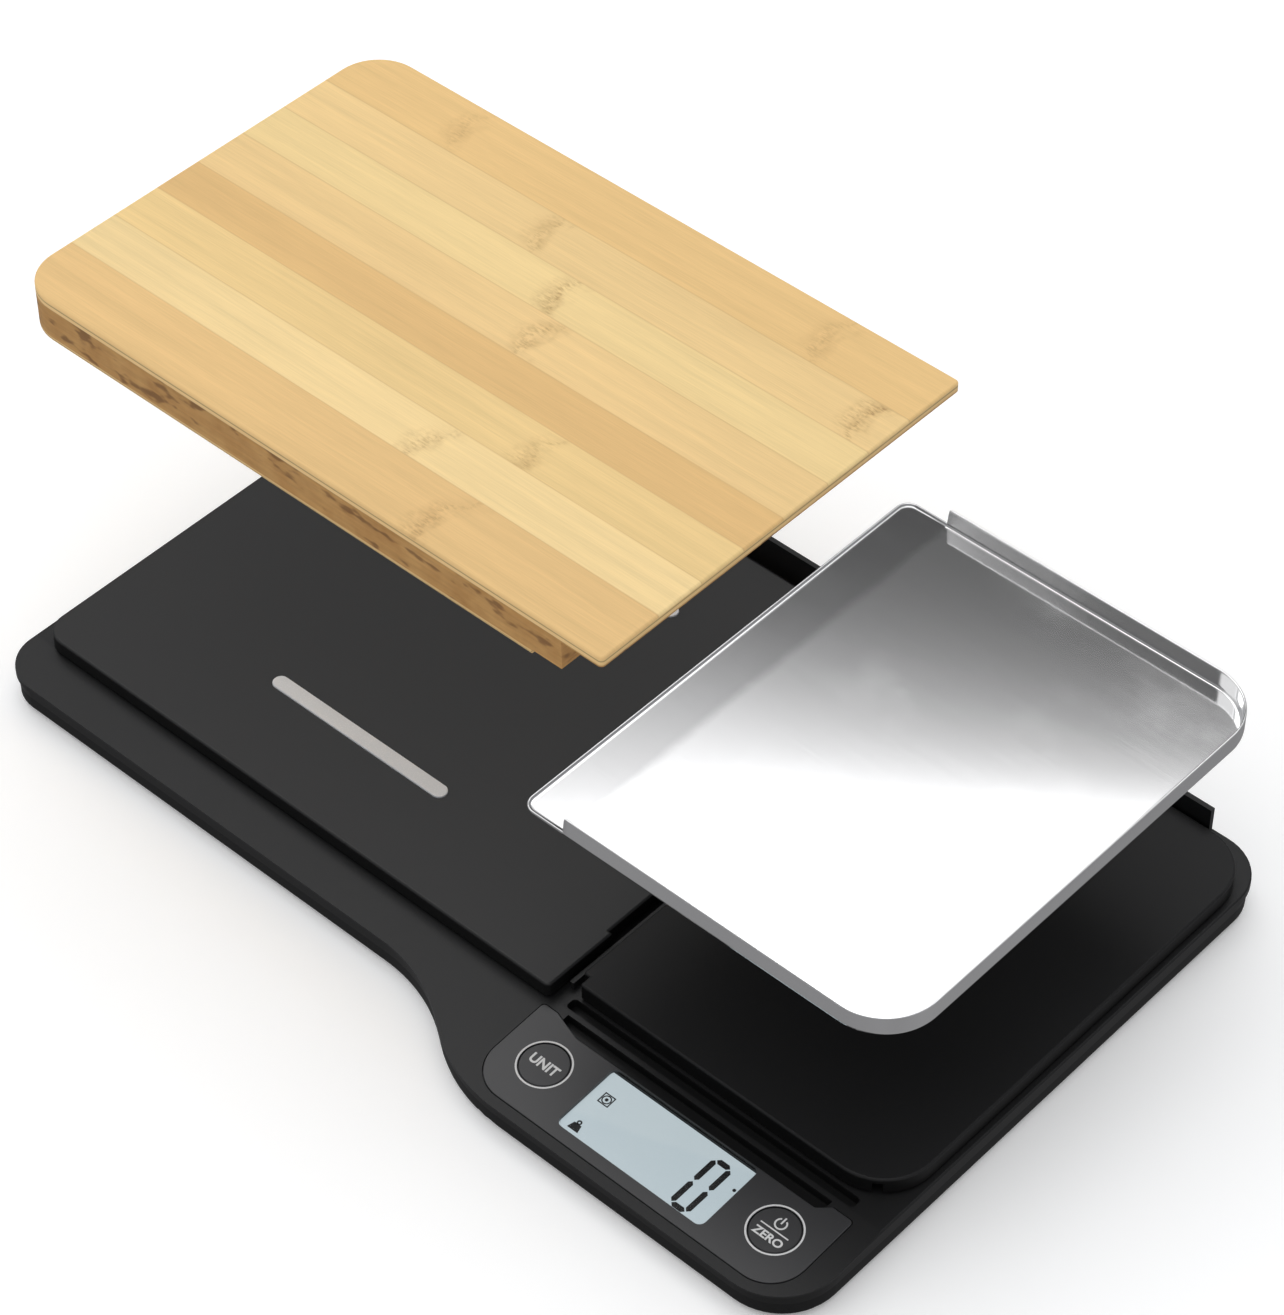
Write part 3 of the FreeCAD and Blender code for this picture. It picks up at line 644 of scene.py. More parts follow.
    def _edge(self, graph: Graph, x: Wire, y: Wire, z: Wire) -> tuple[Wire, Wire]:
        """The board's sides, where the plies show.

        Args:
            graph: the material.
            x: the point's x.
            y: its y.
            z: its z.

        Returns:
            The sides' colour, and 1 on the sides and below, 0 on the top face.
        """
        drop, height = self.top - z, self.top - self.bottom
        run = graph.noise(graph.vector(x * 45, y * 45, z * 900), 1.0, 3.0, 0.6)
        patch = graph.noise(graph.vector(x * 110, y * 110, z * 120), 1.0, 2.0, 0.7)
        blot = graph.noise(graph.vector(x * 95 + 3, y * 95, z * 230), 1.0, 2.0).over(0.57, 0.68)
        pale = graph.mix(*self.PLY_TONES, run)
        core = graph.tint(graph.mix(*self.CORE_TONES, patch), 0.7 + run * 0.5)
        core = graph.mix(core, self.BLOT_BROWN, blot * 0.65)
        inside = drop.over(2.9 * MM, 3.2 * MM) * (1.0 - drop.over(height - 1.7 * MM, height - 1.4 * MM))
        glue = 1.0 - abs(drop - 1.5 * MM).over(0.12 * MM, 0.35 * MM)
        foot = 1.0 - abs(drop - (height - 0.9 * MM)).over(0.1 * MM, 0.35 * MM)
        side = graph.mix(graph.mix(pale, core, inside), self.GLUE_BROWN, (glue + foot) * 0.7)
        return side, drop.over(0.75 * MM, 0.95 * MM)


SHELL_BLACK = MouldedPlastic("lower_shell_moulding", (0.005, 0.005, 0.0052, 1.0), roughness=0.5,
                             specular=0.25)
PANEL_GREY = MouldedPlastic("panel_moulding", (0.036, 0.036, 0.038, 1.0), roughness=0.36, grain=3400.0,
                            relief=0.01 * MM)
KEY_GREY = MouldedPlastic("key_moulding", (0.034, 0.034, 0.036, 1.0), roughness=0.4, grain=3000.0)
SPACER_WHITE = MouldedPlastic("spacer_moulding", (0.55, 0.55, 0.52, 1.0), roughness=0.5)
LIGHT_GUIDE = MouldedPlastic("light_guide_moulding", (0.85, 0.88, 0.92, 1.0), roughness=0.3)
SWITCH_BLACK = MouldedPlastic("switch_moulding", (0.01, 0.01, 0.01, 1.0), roughness=0.35)
GAUGE_FILM = MouldedPlastic("gauge_film", (0.6, 0.3, 0.06, 1.0), roughness=0.3)
FOOT_RUBBER = Rubber("foot_rubber", (0.02, 0.02, 0.02, 1.0), (0.12, 0.12, 0.12, 1.0))
GRIP_RUBBER = Rubber("grip_rubber", (0.80, 0.82, 0.85, 1.0), (0.93, 0.94, 0.96, 1.0), amount=0.6)
CONNECTOR_RUBBER = Rubber("connector_rubber", (0.5, 0.15, 0.25, 1.0), (0.02, 0.02, 0.02, 1.0), amount=0.8)
BRACKET_STEEL = Steel("bracket_steel", (0.55, 0.56, 0.58, 1.0), 0.4)
SCREW_STEEL = Steel("screw_steel", (0.5, 0.5, 0.52, 1.0), 0.32)
BAR_ALUMINIUM = Steel("bar_aluminium", (0.78, 0.79, 0.81, 1.0), 0.36)
CELL_STEEL = Steel("coin_cell_steel", (0.7, 0.7, 0.69, 1.0), 0.24)
CONTACT_BRONZE = Steel("contact_bronze", (0.72, 0.55, 0.3, 1.0), 0.3)
WINDOW = ClearWindow()
LCD = LitGlass("lit_display_glass")
BOARD_MASK = CircuitBoard()
WHITE_INK = Ink("white_print", (0.72, 0.72, 0.72, 1.0))
SEGMENT_INK = Ink("display_segment", (0.004, 0.004, 0.005, 1.0))


# ---------------------------------------------------------------- mesh tools

def link(name: str, mesh: bpy.types.Mesh, finish: Finish, crease: float = 30.0) -> bpy.types.Object:
    """Puts a mesh in the scene with its finish.

    Args:
        name: the piece's name.
        mesh: its mesh, in the frame's metres.
        finish: its finish.
        crease: the angle in degrees past which an edge stays sharp.

    Returns:
        The object.
    """
    piece = bpy.data.objects.new(name, mesh)
    bpy.context.scene.collection.objects.link(piece)
    mesh.materials.clear()
    mesh.materials.append(finish.material())
    mesh.shade_smooth()
    mesh.set_sharp_from_angle(angle=math.radians(crease))
    LOG.info("made %s with %d faces", name, len(mesh.polygons))
    return piece


def from_bmesh(name: str, shape: bmesh.types.BMesh) -> bpy.types.Mesh:
    """Turns an edited shape into a mesh and frees it."""
    mesh = bpy.data.meshes.new(name)
    shape.to_mesh(mesh)
    shape.free()
    return mesh


def arc(u: float, v: float, radius: float, start: float, end: float, steps: int) -> Outline:
    """Points on an arc.

    Args:
        u: the middle's first coordinate.
        v: its second coordinate.
        radius: the arc's radius.
        start: where it starts, in degrees.
        end: where it ends.
        steps: how many pieces it is made of.

    Returns:
        The points, one more than the pieces.
    """
    turns = [math.radians(start + (end - start) * n / steps) for n in range(steps + 1)]
    return [(u + radius * math.cos(turn), v + radius * math.sin(turn)) for turn in turns]


def ring(u: float, v: float, inner: float, outer: float, start: float = 0.0, end: float = 360.0,
         steps: int = 72) -> list[Outline]:
    """Quadrilaterals that together make a flat ring or an arc of one.

    Args:
        u: the middle's u.
        v: the middle's v.
        inner: the inner radius.
        outer: the outer radius.
        start: where the arc starts, in degrees.
        end: where it ends.
        steps: how many pieces it is made of.

    Returns:
        One outline for each piece.
    """
    inside, outside = arc(u, v, inner, start, end, steps), arc(u, v, outer, start, end, steps)
    return [[inside[n], outside[n], outside[n + 1], inside[n + 1]] for n in range(steps)]


def disc(u: float, v: float, radius: float) -> Outline:
    """A small round spot's outline."""
    return arc(u, v, radius, 0, 360, 16)[:-1]


def oblong(u: float, v: float, width: float, height: float) -> Outline:
    """An oblong's outline from its low corner."""
    return [(u, v), (u + width, v), (u + width, v + height), (u, v + height)]


def dress(finish: Finish, *names: str) -> None:
    """Gives CAD nodes a finish.

    Args:
        finish: the finish.
        *names: the nodes.
    """
    for name in names:
        slots = NODES[name].data.materials
        slots.clear()
        slots.append(finish.material())
        LOG.info("dressed %s in %s", name, finish.name)


@dataclass
class Slope:
    """The display's sloping face: a flat frame with its origin over the left key.

    Attributes:
        origin: the point over the left key, on the panel's face.
        across: the direction along the display.
        up_slope: the direction towards the back.
        normal: the direction out of the face.
    """

    origin: Vector
    across: Vector
    up_slope: Vector
    normal: Vector

    @classmethod
    def of_keys(cls, joint: str, key: str) -> "Slope":
        """Reads the slope from a key's joint and node.

        Args:
            joint: the joint whose axis is the slope's normal.
            key: the key's node.

        Returns:
            The slope.
        """
        axis = next(j["axis"] for j in frame["joints"] if j["name"] == joint)
        normal = Vector(axis).normalized()
        across = Vector((1.0, 0.0, 0.0))
        low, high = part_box(key)
        middle = (low + high) / 2
        level = max(normal.dot(v.co) for v in NODES[key].data.vertices)
        origin = middle + normal * (level - normal.dot(middle))
        return cls(origin, across, normal.cross(across), normal)

    def at(self, u: float, v: float, w: float = 0.0) -> Vector:
        """The point that lies u along, v up the slope and w over the face."""
        return self.origin + self.across * u + self.up_slope * v + self.normal * w

    def local(self, point: Vector) -> tuple[float, float]:
        """A point's u and v."""
        offset = point - self.origin
        return offset.dot(self.across), offset.dot(self.up_slope)

    def plate(self, name: str, outlines: Iterable[Outline], low: float, thickness: float,
              finish: Finish) -> bpy.types.Object:
        """Thin flat plates that lie on the slope.

        Args:
            name: the piece's name.
            outlines: each plate's corners as u, v, anticlockwise.
            low: the height of the plates' undersides over the face.
            thickness: how thick they are.
            finish: their finish.

        Returns:
            One piece with all the plates.
        """
        shape = bmesh.new()
        for outline in outlines:
            lower = [shape.verts.new(self.at(u, v, low)) for u, v in outline]
            upper = [shape.verts.new(self.at(u, v, low + thickness)) for u, v in outline]
            shape.faces.new(list(reversed(lower)))
            shape.faces.new(upper)
            for n, start in enumerate(lower):
                after = (n + 1) % len(lower)
                shape.faces.new((start, lower[after], upper[after], upper[n]))
        return link(name, from_bmesh(name, shape), finish)


# ---------------------------------------------------------------- sub-assemblies

class SubAssembly:
    """Pieces that are made and dressed together."""

    def build(self) -> None:
        """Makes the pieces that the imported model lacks, if there are any."""

    def dress(self) -> None:
        """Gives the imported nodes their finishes, where they are kept."""


@dataclass
class Housing(SubAssembly):
    """The two shells, the platforms and what is on their outside.

    Attributes:
        slope: the display's face, which runs on as the front of the deck.
        charcoal: the colour of the upper shell.
        left_top: the left platform's colour.
        right_top: the right platform's colour, lightened as painted light to make up for the shade that the
            tray casts on it.
        panel_seat: how far the panel stands over the slope that it lies on.
    """

    slope: Slope
    charcoal: Colour = (0.0105, 0.0105, 0.011, 1.0)
    left_top: Colour = (0.0155, 0.0155, 0.016, 1.0)
    # painted light: this colour is lifted to offset the tray's shade on the right platform
    right_top: Colour = (0.0145, 0.0145, 0.015, 1.0)
    panel_seat: float = 0.15 * MM

    def dress(self) -> None:
        """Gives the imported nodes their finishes."""
        panel_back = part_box("display_panel")[1]
        fall = self.slope.up_slope.z / self.slope.up_slope.y
        # painted shade: the deck's flanks below its face and the display slope are darkened
        deck = FlankShadeLevel(panel_back.z - self.panel_seat, panel_back.y, fall)
        dress(MouldedPlastic("deck_moulding", self.charcoal, specular=0.36, deck=deck), "upper_housing")
        for side, colour, specular in (("left", self.left_top, 0.42), ("right", self.right_top, 0.22)):
            node = f"platform_{side}"
            # painted shade: each platform's flanks below its top face are darkened
            deck = FlankShadeLevel(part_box(node)[1].z)
            dress(MouldedPlastic(f"{side}_platform_moulding", colour, specular=specular, deck=deck), node)
        dress(SHELL_BLACK, "lower_housing", "battery_door")
        dress(GRIP_RUBBER, "grip_strip_front", "grip_strip_back")
        dress(FOOT_RUBBER, *[name for name in NODES if name.startswith("foot_")])
        dress(SCREW_STEEL, "housing_screws", "load_cell_bolts")


@dataclass
class Weighing(SubAssembly):
    """The bars, brackets and small hardware inside."""

    def dress(self) -> None:
        """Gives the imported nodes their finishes."""
        for side in ("left", "right"):
            dress(BAR_ALUMINIUM, f"load_cell_{side}")
            dress(GAUGE_FILM, f"strain_gauges_{side}")
            dress(SPACER_WHITE, f"cell_spacer_{side}", f"platform_spacer_{side}")
            dress(BRACKET_STEEL, f"platform_bracket_{side}")
            dress(SCREW_STEEL, f"platform_screws_{side}")
        dress(CELL_STEEL, "coin_cell_1", "coin_cell_2")
        dress(CONTACT_BRONZE, "battery_contacts")
        dress(BOARD_MASK, "main_board")
        dress(SCREW_STEEL, "main_board_screws")
        dress(SWITCH_BLACK, "unit_switch", "zero_switch", "processor_blob")
        dress(CONNECTOR_RUBBER, "lcd_connector")


class Label(Enum):
    """The printed words."""

    UNIT = "UNIT"
    ZERO = "ZERO"


@dataclass
class Keys(SubAssembly):
    """The two keys with their printed rings, words and power sign.

    Attributes:
        slope: the display's face.
        ring_inner: the ring's inner radius.
        ring_outer: its outer radius.
        print_height: how far the print stands proud.
        word_width: how wide a word is.
        sign_radius: the power sign's outer radius.
        sign_line: how wide its lines are.
        rule_width: how long the line between sign and word is.
        rule_line: how thick that line is.
    """

    slope: Slope
    ring_inner: float = 8.42 * MM
    ring_outer: float = 9.0 * MM
    print_height: float = 0.03 * MM
    word_width: float = 10.8 * MM
    sign_radius: float = 2.1 * MM
    sign_line: float = 0.55 * MM
    rule_width: float = 10.6 * MM
    rule_line: float = 0.45 * MM

    def middle(self, key: str) -> tuple[float, float]:
        """A key's middle on the slope."""
        low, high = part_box(key)
        return self.slope.local((low + high) / 2)

    def printed(self, name: str, outlines: Iterable[Outline]) -> bpy.types.Object:
        """Prints outlines on the slope."""
        return self.slope.plate(name, outlines, -self.print_height, 2 * self.print_height, WHITE_INK)

    def word(self, label: Label, u: float, v: float, height: float, body: str) -> None:
        """Prints a word.

        Args:
            label: the word.
            u: its middle's u.
            v: its middle's v.
            height: how tall its letters are.
            body: the body that it is printed on.
        """
        curve = bpy.data.curves.new(label.value.lower() + "_word", "FONT")
        curve.body = label.value
        curve.align_x = "CENTER"
        curve.align_y = "CENTER"
        curve.offset = 0.03
        curve.extrude = 0.01
        text = bpy.data.objects.new(curve.name, curve)
        mesh = bpy.data.meshes.new_from_object(text)
        bpy.data.objects.remove(text)
        xs = [vertex.co.x for vertex in mesh.vertices]
        ys = [vertex.co.y for vertex in mesh.vertices]
        wide, tall = self.word_width / (max(xs) - min(xs)), height / (max(ys) - min(ys))
        for vertex in mesh.vertices:
            x, y, z = vertex.co
            vertex.co = self.slope.at(u + x * wide, v + (y - (max(ys) + min(ys)) / 2) * tall,
                                      self.print_height if z > 0 else -self.print_height)
        piece = link(curve.name, mesh, WHITE_INK)
        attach(piece, body)

    def build(self) -> None:
        """Prints rings, words and the power sign."""
        for name in ("unit", "zero"):
            u, v = self.middle(name + "_button")
            piece = self.printed(name + "_ring", ring(u, v, self.ring_inner, self.ring_outer))
            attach(piece, "base")
        self.word(Label.UNIT, *self.middle("unit_button"), 3.7 * MM, "unit_key")
        u, v = self.middle("zero_button")
        self.word(Label.ZERO, u, v - 3.1 * MM, 2.9 * MM, "zero_key")
        rise, line = v + 2.7 * MM, self.sign_line
        sign = ring(u, rise, self.sign_radius - line, self.sign_radius, 120, 420, 40)
        sign.append(oblong(u - line / 2, rise, line, self.sign_radius + 0.5 * MM))
        sign.append(oblong(u - self.rule_width / 2, v - self.rule_line, self.rule_width, self.rule_line))
        piece = self.printed("power_sign", sign)
        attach(piece, "zero_key")

    def dress(self) -> None:
        """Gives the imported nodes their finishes."""
        dress(KEY_GREY, "unit_button", "zero_button")
        dress(PANEL_GREY, "display_panel")


@dataclass
class Readout(SubAssembly):
    """The display: lit glass, black segments and signs under a clear window.

    Attributes:
        slope: the display's face.
        depth: how far under the face the segments lie.
        thickness: how thick they are.
        stroke: how wide a segment is.
        gap: half of the gap between two segments.
        lean: how far the nought's top leans over.
        spot: the radius of a round spot.
    """

    slope: Slope
    depth: float = 1.28 * MM
    thickness: float = 0.04 * MM
    stroke: float = 1.95 * MM
    gap: float = 0.32 * MM
    lean: float = 0.3 * MM
    spot: float = 0.6 * MM

    def at(self, across: float, up: float) -> tuple[float, float]:
        """The place on the slope that lies at shares of the window's width and depth."""
        (left, front), (right, back) = (self.slope.local(corner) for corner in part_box("display_window"))
        return left + across * (right - left), front + up * (back - front)

    def bar(self, u0: float, v0: float, u1: float, v1: float) -> Outline:
        """A segment with pointed ends, from one end to the other, upright or level."""
        half = self.stroke / 2
        if u0 == u1:
            return [(u0, v0), (u0 + half, v0 + half), (u0 + half, v1 - half), (u0, v1),
                    (u0 - half, v1 - half), (u0 - half, v0 + half)]
        return [(u0, v0), (u0 + half, v0 - half), (u1 - half, v0 - half), (u1, v0),
                (u1 - half, v0 + half), (u0 + half, v0 + half)]

    def nought(self, low: tuple[float, float], high: tuple[float, float]) -> list[Outline]:
        """The six segments of a nought.

        Args:
            low: its lower left corner.
            high: its upper right corner.

        Returns:
            The segments' outlines.
        """
        (left, front), (right, back) = low, high
        waist = (front + back) / 2
        bars = [self.bar(left + self.gap, v, right - self.gap, v) for v in (front, back)]
        bars += [self.bar(u, start + self.gap, u, end - self.gap)
                 for u in (left, right) for start, end in ((front, waist), (waist, back))]
        slant = self.lean / (back - front)
        return [[(u + slant * (v - front), v) for u, v in bar] for bar in bars]

    def target(self, u: float, v: float) -> list[Outline]:
        """A square sign with a ring and a spot in it, about a place."""
        edge, line = 2.1 * MM, 0.4 * MM
        marks = ring(u, v, 1.25 * MM, 1.65 * MM, steps=28) + [disc(u, v, self.spot)]
        marks += [oblong(u + way, v - edge, line, 2 * edge) for way in (-edge, edge - line)]
        return marks + [oblong(u - edge, v + way, 2 * edge, line) for way in (-edge, edge - line)]

    def weight(self, u: float, v: float) -> list[Outline]:
        """A weight with its ring, about a place."""
        foot, head = 2.1 * MM, 1.4 * MM
        body = [(u - foot, v - 1.6 * MM), (u + foot, v - 1.6 * MM), (u + head, v + 1.1 * MM),
                (u - head, v + 1.1 * MM)]
        return [body] + ring(u, v + 1.7 * MM, 0.35 * MM, 0.9 * MM, steps=20)

    def build(self) -> None:
        """Lays the segments and signs over the lit glass."""
        marks = self.nought(self.at(0.774, 0.057), self.at(0.875, 0.817))
        marks += self.target(*self.at(0.092, 0.626)) + self.weight(*self.at(0.083, 0.125))
        marks.append(disc(*self.at(0.976, 0.634), self.spot))
        piece = self.slope.plate("display_segments", marks, -self.depth, self.thickness, SEGMENT_INK)
        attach(piece, "base")

    def dress(self) -> None:
        """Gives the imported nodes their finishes."""
        dress(WINDOW, "display_window")
        dress(LCD, "lcd_glass")
        dress(LIGHT_GUIDE, "lcd_backlight")


@dataclass
class CuttingBoard(SubAssembly):
    """The bamboo board."""

    def dress(self) -> None:
        """Gives the board its bonded strips."""
        low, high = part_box("cutting_board")
        dress(Bamboo("bonded_bamboo", high.y, low.x, high.z, low.z, high.y - low.y), "cutting_board")
        NODES["cutting_board"].visible_glossy = False


@dataclass
class ServingTray(SubAssembly):
    """The pressed steel tray, with its tight bends, rounded rim and stepped walls.

    Attributes:
        sheet: the steel's thickness.
        bend: the outer radius between floor and wall.
        large: the radius of the two right corners.
        small: the radius of the two left corners.
        low_wall: the wall's height along the open margin.
        margin: how wide the open margin is.
        step: the length over which the wall steps up.
    """

    sheet: float = 0.8 * MM
    bend: float = 1.6 * MM
    large: float = 20.0 * MM
    small: float = 5.0 * MM
    low_wall: float = 1.7 * MM
    margin: float = 17.0 * MM
    step: float = 0.9 * MM

    def path(self) -> list[tuple[Vector, Vector, float]]:
        """Points round the tray's outside.

        Returns:
            For each point its place, its outward normal and the wall's height there.
        """
        low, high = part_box("serving_tray")
        edge = low.x + self.margin
        rises = [edge + self.step * n / 6 for n in range(7)]
        points = [
            *self.corner(low.x + self.small, low.y + self.small, self.small, 180),
            *((Vector((x, low.y)), Vector((0.0, -1.0))) for x in rises),
            *self.corner(high.x - self.large, low.y + self.large, self.large, 270),
            *self.corner(high.x - self.large, high.y - self.large, self.large, 0),
            *((Vector((x, high.y)), Vector((0.0, 1.0))) for x in reversed(rises)),
            *self.corner(low.x + self.small, high.y - self.small, self.small, 90),
        ]
        climb = high.z - low.z - self.low_wall
        path = []
        for place, normal in points:
            share = min(max((place.x - edge) / self.step, 0.0), 1.0)
            share = share * share * (3 - 2 * share)
            path.append((place, normal, self.low_wall + climb * share))
        return path

    def corner(self, x: float, y: float, radius: float, start: float) -> list[tuple[Vector, Vector]]:
        """Points round one corner of the tray, seen from above.

        Args:
            x: the x of its middle.
            y: its y.
            radius: its radius.
            start: where it starts, in degrees.

        Returns:
            For each point its place and its outward normal.
        """
        steps = 24 if radius == self.large else 10
        normals = [Vector(point) for point in arc(0.0, 0.0, 1.0, start, start + 90, steps)]
        return [(Vector((x, y)) + normal * radius, normal) for normal in normals]

    def section(self, height: float) -> Outline:
        """The wall's section: how far in from the outside, and how high.

        Args:
            height: the wall's height.

        Returns:
            The points from the floor's underside round the rim to the floor's top.
        """
        half, floor_edge = self.sheet / 2, self.bend + 0.4 * MM
        bend = min(self.bend, height - half - 0.05 * MM)
        top = height - half
        support = min(0.15 * MM, (top - bend) / 3)
        return [
            (floor_edge, 0.0), *arc(bend, bend, bend, 270, 180, 8),
            (0.0, bend + support), (0.0, top - support), *arc(half, top, half, 180, 0, 8),
            (self.sheet, top - support), (self.sheet, bend + support),
            *arc(bend, bend, bend - self.sheet, 180, 270, 8), (floor_edge, self.sheet),
        ]

    def build(self) -> None:
        """Sweeps the section round the path and closes the floor."""
        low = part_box("serving_tray")[0]
        shape = bmesh.new()
        rings = [[shape.verts.new((*(place - normal * inset), low.z + rise))
                  for inset, rise in self.section(height)] for place, normal, height in self.path()]
        for ring, after in zip(rings, rings[1:] + rings[:1]):
            for n in range(len(ring) - 1):
                shape.faces.new((ring[n], after[n], after[n + 1], ring[n + 1]))
        shape.faces.new([ring[0] for ring in reversed(rings)])
        shape.faces.new([ring[-1] for ring in rings])
        bmesh.ops.remove_doubles(shape, verts=shape.verts, dist=0.002 * MM)
        bmesh.ops.recalc_face_normals(shape, faces=shape.faces)
        # the steel carries painted shade over the open margin, under the board's lip
        steel = TraySteel("tray_steel", (0.90, 0.90, 0.905, 1.0), 0.09, marks=0.03, smears=0.04,
                          relief=0.001 * MM, strength=0.4, left=low.x, margin=self.margin)
        tray = link("pressed_tray", from_bmesh("pressed_tray", shape), steel, crease=40.0)
        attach(tray, "tray")
        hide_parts("serving_tray")


# ---------------------------------------------------------------- studio

@dataclass
class Studio:
    """The pale floor, the soft lights and the camera.

    Attributes:
        aim: the point that the camera looks at.
        tray_middle: the middle of the tray's floor.
        tray_level: its height.
        reach: how far away the cards hang.
        azimuth: how far round from the front the camera stands, in degrees.
        elevation: how far above the horizon it stands, in degrees.
        distance: how far away it stands.
        lens: its focal length on a 36 mm long side, in millimetres.
    """

    aim: Vector
    tray_middle: Vector
    tray_level: float
    reach: float = 6.0
    azimuth: float = 42.2
    elevation: float = 45.2
    distance: float = 1.3449
    lens: float = 113.87

    BACK_TONES = (
        (8.0, 0.07), (42.7, 0.10), (43.5, 0.15), (44.2, 0.26), (44.9, 0.44), (45.6, 0.69), (46.2, 0.90),
        (46.8, 1.1), (52.0, 1.2),
    )
    FRONT_TONES = ((18.0, 0.14), (66.0, 0.10))

    def towards(self, azimuth: float, elevation: float, distance: float) -> Vector:
        """The point at a bearing and distance from the aim."""
        turn, rise = math.radians(azimuth), math.radians(elevation)
        flat = math.cos(rise) * distance
        return self.aim + Vector((math.sin(turn) * flat, -math.cos(turn) * flat, math.sin(rise) * distance))

    def camera(self) -> None:
        """Sets up the camera."""
        data = bpy.data.cameras.new("camera")
        data.lens = self.lens
        data.sensor_width = 36.0
        camera = bpy.data.objects.new("camera", data)
        camera.location = self.towards(self.azimuth, self.elevation, self.distance)
        camera.rotation_euler = (self.aim - camera.location).to_track_quat("-Z", "Y").to_euler()
        bpy.context.scene.collection.objects.link(camera)
        bpy.context.scene.camera = camera

    def lamp(self, name: str, place: Vector, size: tuple[float, float], power: float) -> None:
        """Hangs a soft box that faces the aim.

        Args:
            name: the light's name.
            place: where it hangs.
            size: its width and height.
            power: its power in watts.
        """
        data = bpy.data.lights.new(name, "AREA")
        data.shape = "RECTANGLE"
        data.size, data.size_y = size
        data.energy = power
        light = bpy.data.objects.new(name, data)
        light.location = place
        light.rotation_euler = (self.aim - place).to_track_quat("-Z", "Y").to_euler()
        bpy.context.scene.collection.objects.link(light)

    @staticmethod
    def sheet(name: str, corners: Sequence[Place], material: bpy.types.Material) -> bpy.types.Object:
        """Makes a flat sheet from its four corners."""
        mesh = bpy.data.meshes.new(name)
        mesh.from_pydata(corners, [], [(0, 1, 2, 3)])
        mesh.materials.append(material)
        piece = bpy.data.objects.new(name, mesh)
        bpy.context.scene.collection.objects.link(piece)
        return piece

    @staticmethod
    def square(half: float, level: float) -> list[Place]:
        """The corners of a level square about the origin."""
        return [(-half, -half, level), (half, -half, level), (half, half, level), (-half, half, level)]

    def floor(self) -> None:
        """Lays the pale floor."""
        graph = Graph("studio_paper")
        tooth = graph.noise(graph.place(), 900.0, 2.0)
        paper = graph.mix((0.93, 0.93, 0.93, 1.0), (0.96, 0.96, 0.96, 1.0), tooth)
        material = graph.finish(Base_Color=paper, Roughness=0.9, Specular_IOR_Level=0.1,
                                Emission_Color=paper, Emission_Strength=0.2)
        floor = self.sheet("studio_floor", self.square(4.0, 0.0), material)

    def only_in_mirrors(self, name: str, corners: Sequence[Place], graph: Graph, colour: Wire) -> None:
        """Hangs a glowing card that only reflections show.

        Args:
            name: the card's name.
            corners: its four corners.
            graph: its material.
            colour: how it glows.
        """
        material = graph.finish(Base_Color=(0.0, 0.0, 0.0, 1.0), Roughness=1.0, Specular_IOR_Level=0.0,
                                Emission_Color=colour, Emission_Strength=1.0)
        card = self.sheet(name, corners, material)
        for kind in ("camera", "diffuse", "transmission", "volume_scatter", "shadow"):
            setattr(card, f"visible_{kind}", False)

    def level(self, rise: float) -> float:
        """The height on a hanging card that the tray sees at an elevation in degrees."""
        return self.tray_level + self.reach * math.tan(math.radians(rise))

    def card(self, name: str, bearing: float, half: float, tones: Sequence[tuple[float, float]],
             tilt: float = 0.0) -> None:
        """Hangs a large upright card that shades from one tone to the next.

        Args:
            name: the card's name.
            bearing: its azimuth from the front, in degrees.
            half: half of its width in degrees.
            tones: elevations in degrees with the brightness that the card has there, from low to high.
            tilt: how much higher the tones lie at its right than at its left.
        """
        turn = math.radians(bearing)
        middle = self.tray_middle + Vector((math.sin(turn), -math.cos(turn), 0.0)) * self.reach
        right = Vector((-math.cos(turn), -math.sin(turn), 0.0))
        aside = right * self.reach * math.tan(math.radians(half))
        low, high = self.level(tones[0][0]), self.level(tones[-1][0])
        corners = [(*(middle + side * aside).xy, level)
                   for side, level in ((-1, low), (1, low), (1, high), (-1, high))]
        graph = Graph(name)
        tooth = graph.noise(graph.place(), 3.0, 2.0)
        x, y, z = graph.axes()
        lateral = (x - middle.x) * right.x + (y - middle.y) * right.y
        bright: Wire | float = tones[0][1]
        for (start, before), (end, after) in zip(tones, tones[1:]):
            step = graph.add("ShaderNodeMapRange", sockets={
                "Value": z - lateral * tilt, "From Min": self.level(start), "From Max": self.level(end),
                "To Max": after - before})
            bright = step + bright
        card = graph.mix((0.96, 0.96, 0.97, 1.0), (1.0, 1.0, 1.0, 1.0), tooth)
        self.only_in_mirrors(name, corners, graph, graph.tint(card, bright))

    def ground_card(self) -> None:
        """Lays the grey card that the steel walls and the base's sides reflect."""
        graph = Graph("ground_card")
        tooth = graph.noise(graph.place(), 6.0, 2.0)
        self.only_in_mirrors("ground_card", self.square(1.5, 0.6 * MM), graph,
                             graph.mix((0.2, 0.2, 0.205, 1.0), (0.3, 0.3, 0.305, 1.0), tooth))

    def build(self) -> None:
        """Sets up everything round the object."""
        scene = bpy.context.scene
        scene.view_settings.view_transform = "Standard"
        world = bpy.data.worlds.new("studio_air")
        world.use_nodes = True
        air = world.node_tree.nodes["Background"].inputs
        air["Color"].default_value = (0.97, 0.98, 1.0, 1.0)
        air["Strength"].default_value = 0.46
        scene.world = world
        self.camera()
        self.floor()
        behind = self.azimuth + 180
        self.ground_card()
        self.card("back_card", behind, 30.0, self.BACK_TONES, tilt=0.38)
        self.card("front_card", -self.azimuth - 5, 34.0, self.FRONT_TONES)
        self.lamp("overhead_box", self.towards(20, 80, 4.0), (3.6, 3.6), 50.0)
        self.lamp("window_box", self.towards(behind, 63, 4.4), (5.0, 2.2), 54.0)
        self.lamp("side_box", self.towards(-60, 38, 4.0), (2.4, 2.4), 14.0)


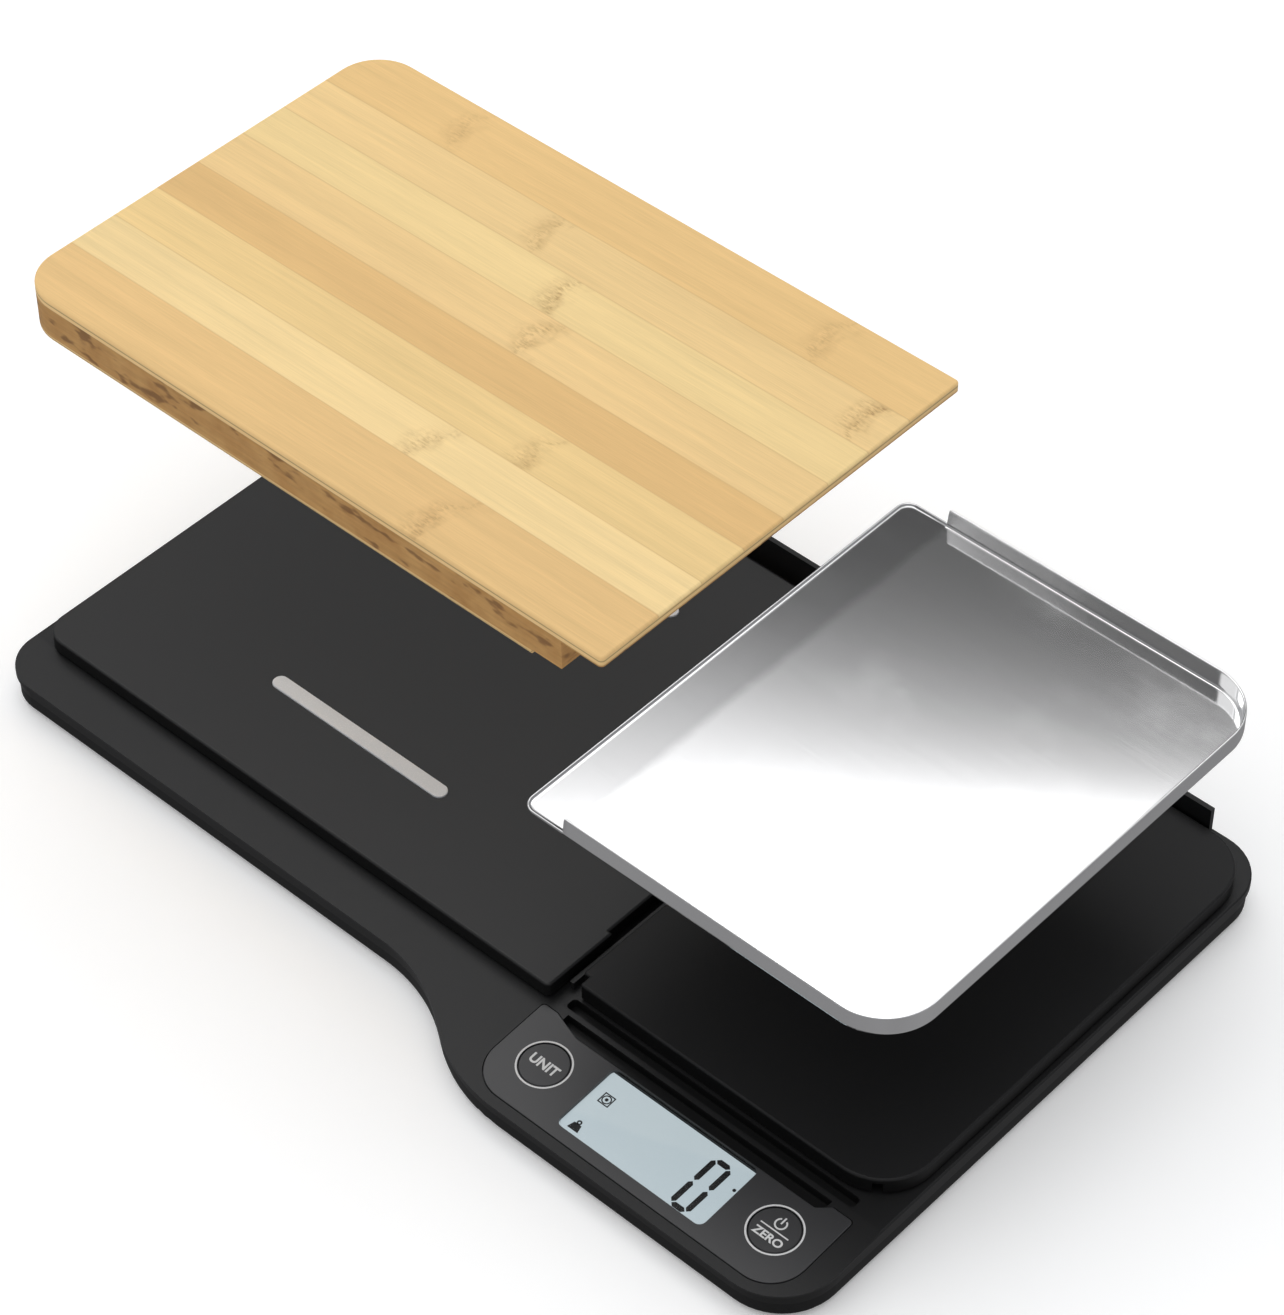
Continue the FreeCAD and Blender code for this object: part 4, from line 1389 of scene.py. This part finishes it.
def main() -> None:
    """Builds the studio and every sub-assembly in order."""
    logging.basicConfig(level=logging.INFO, format="%(message)s")
    low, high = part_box("serving_tray")
    Studio(Vector((-9.7, 33.2, 40.0)) * MM, (low + high) / 2, low.z).build()
    slope = Slope.of_keys("unit_key_press", "unit_button")
    for part in (Housing(slope), Weighing(), Keys(slope), Readout(slope), CuttingBoard(), ServingTray()):
        part.build()
        part.dress()


if __name__ == "__main__":
    main()
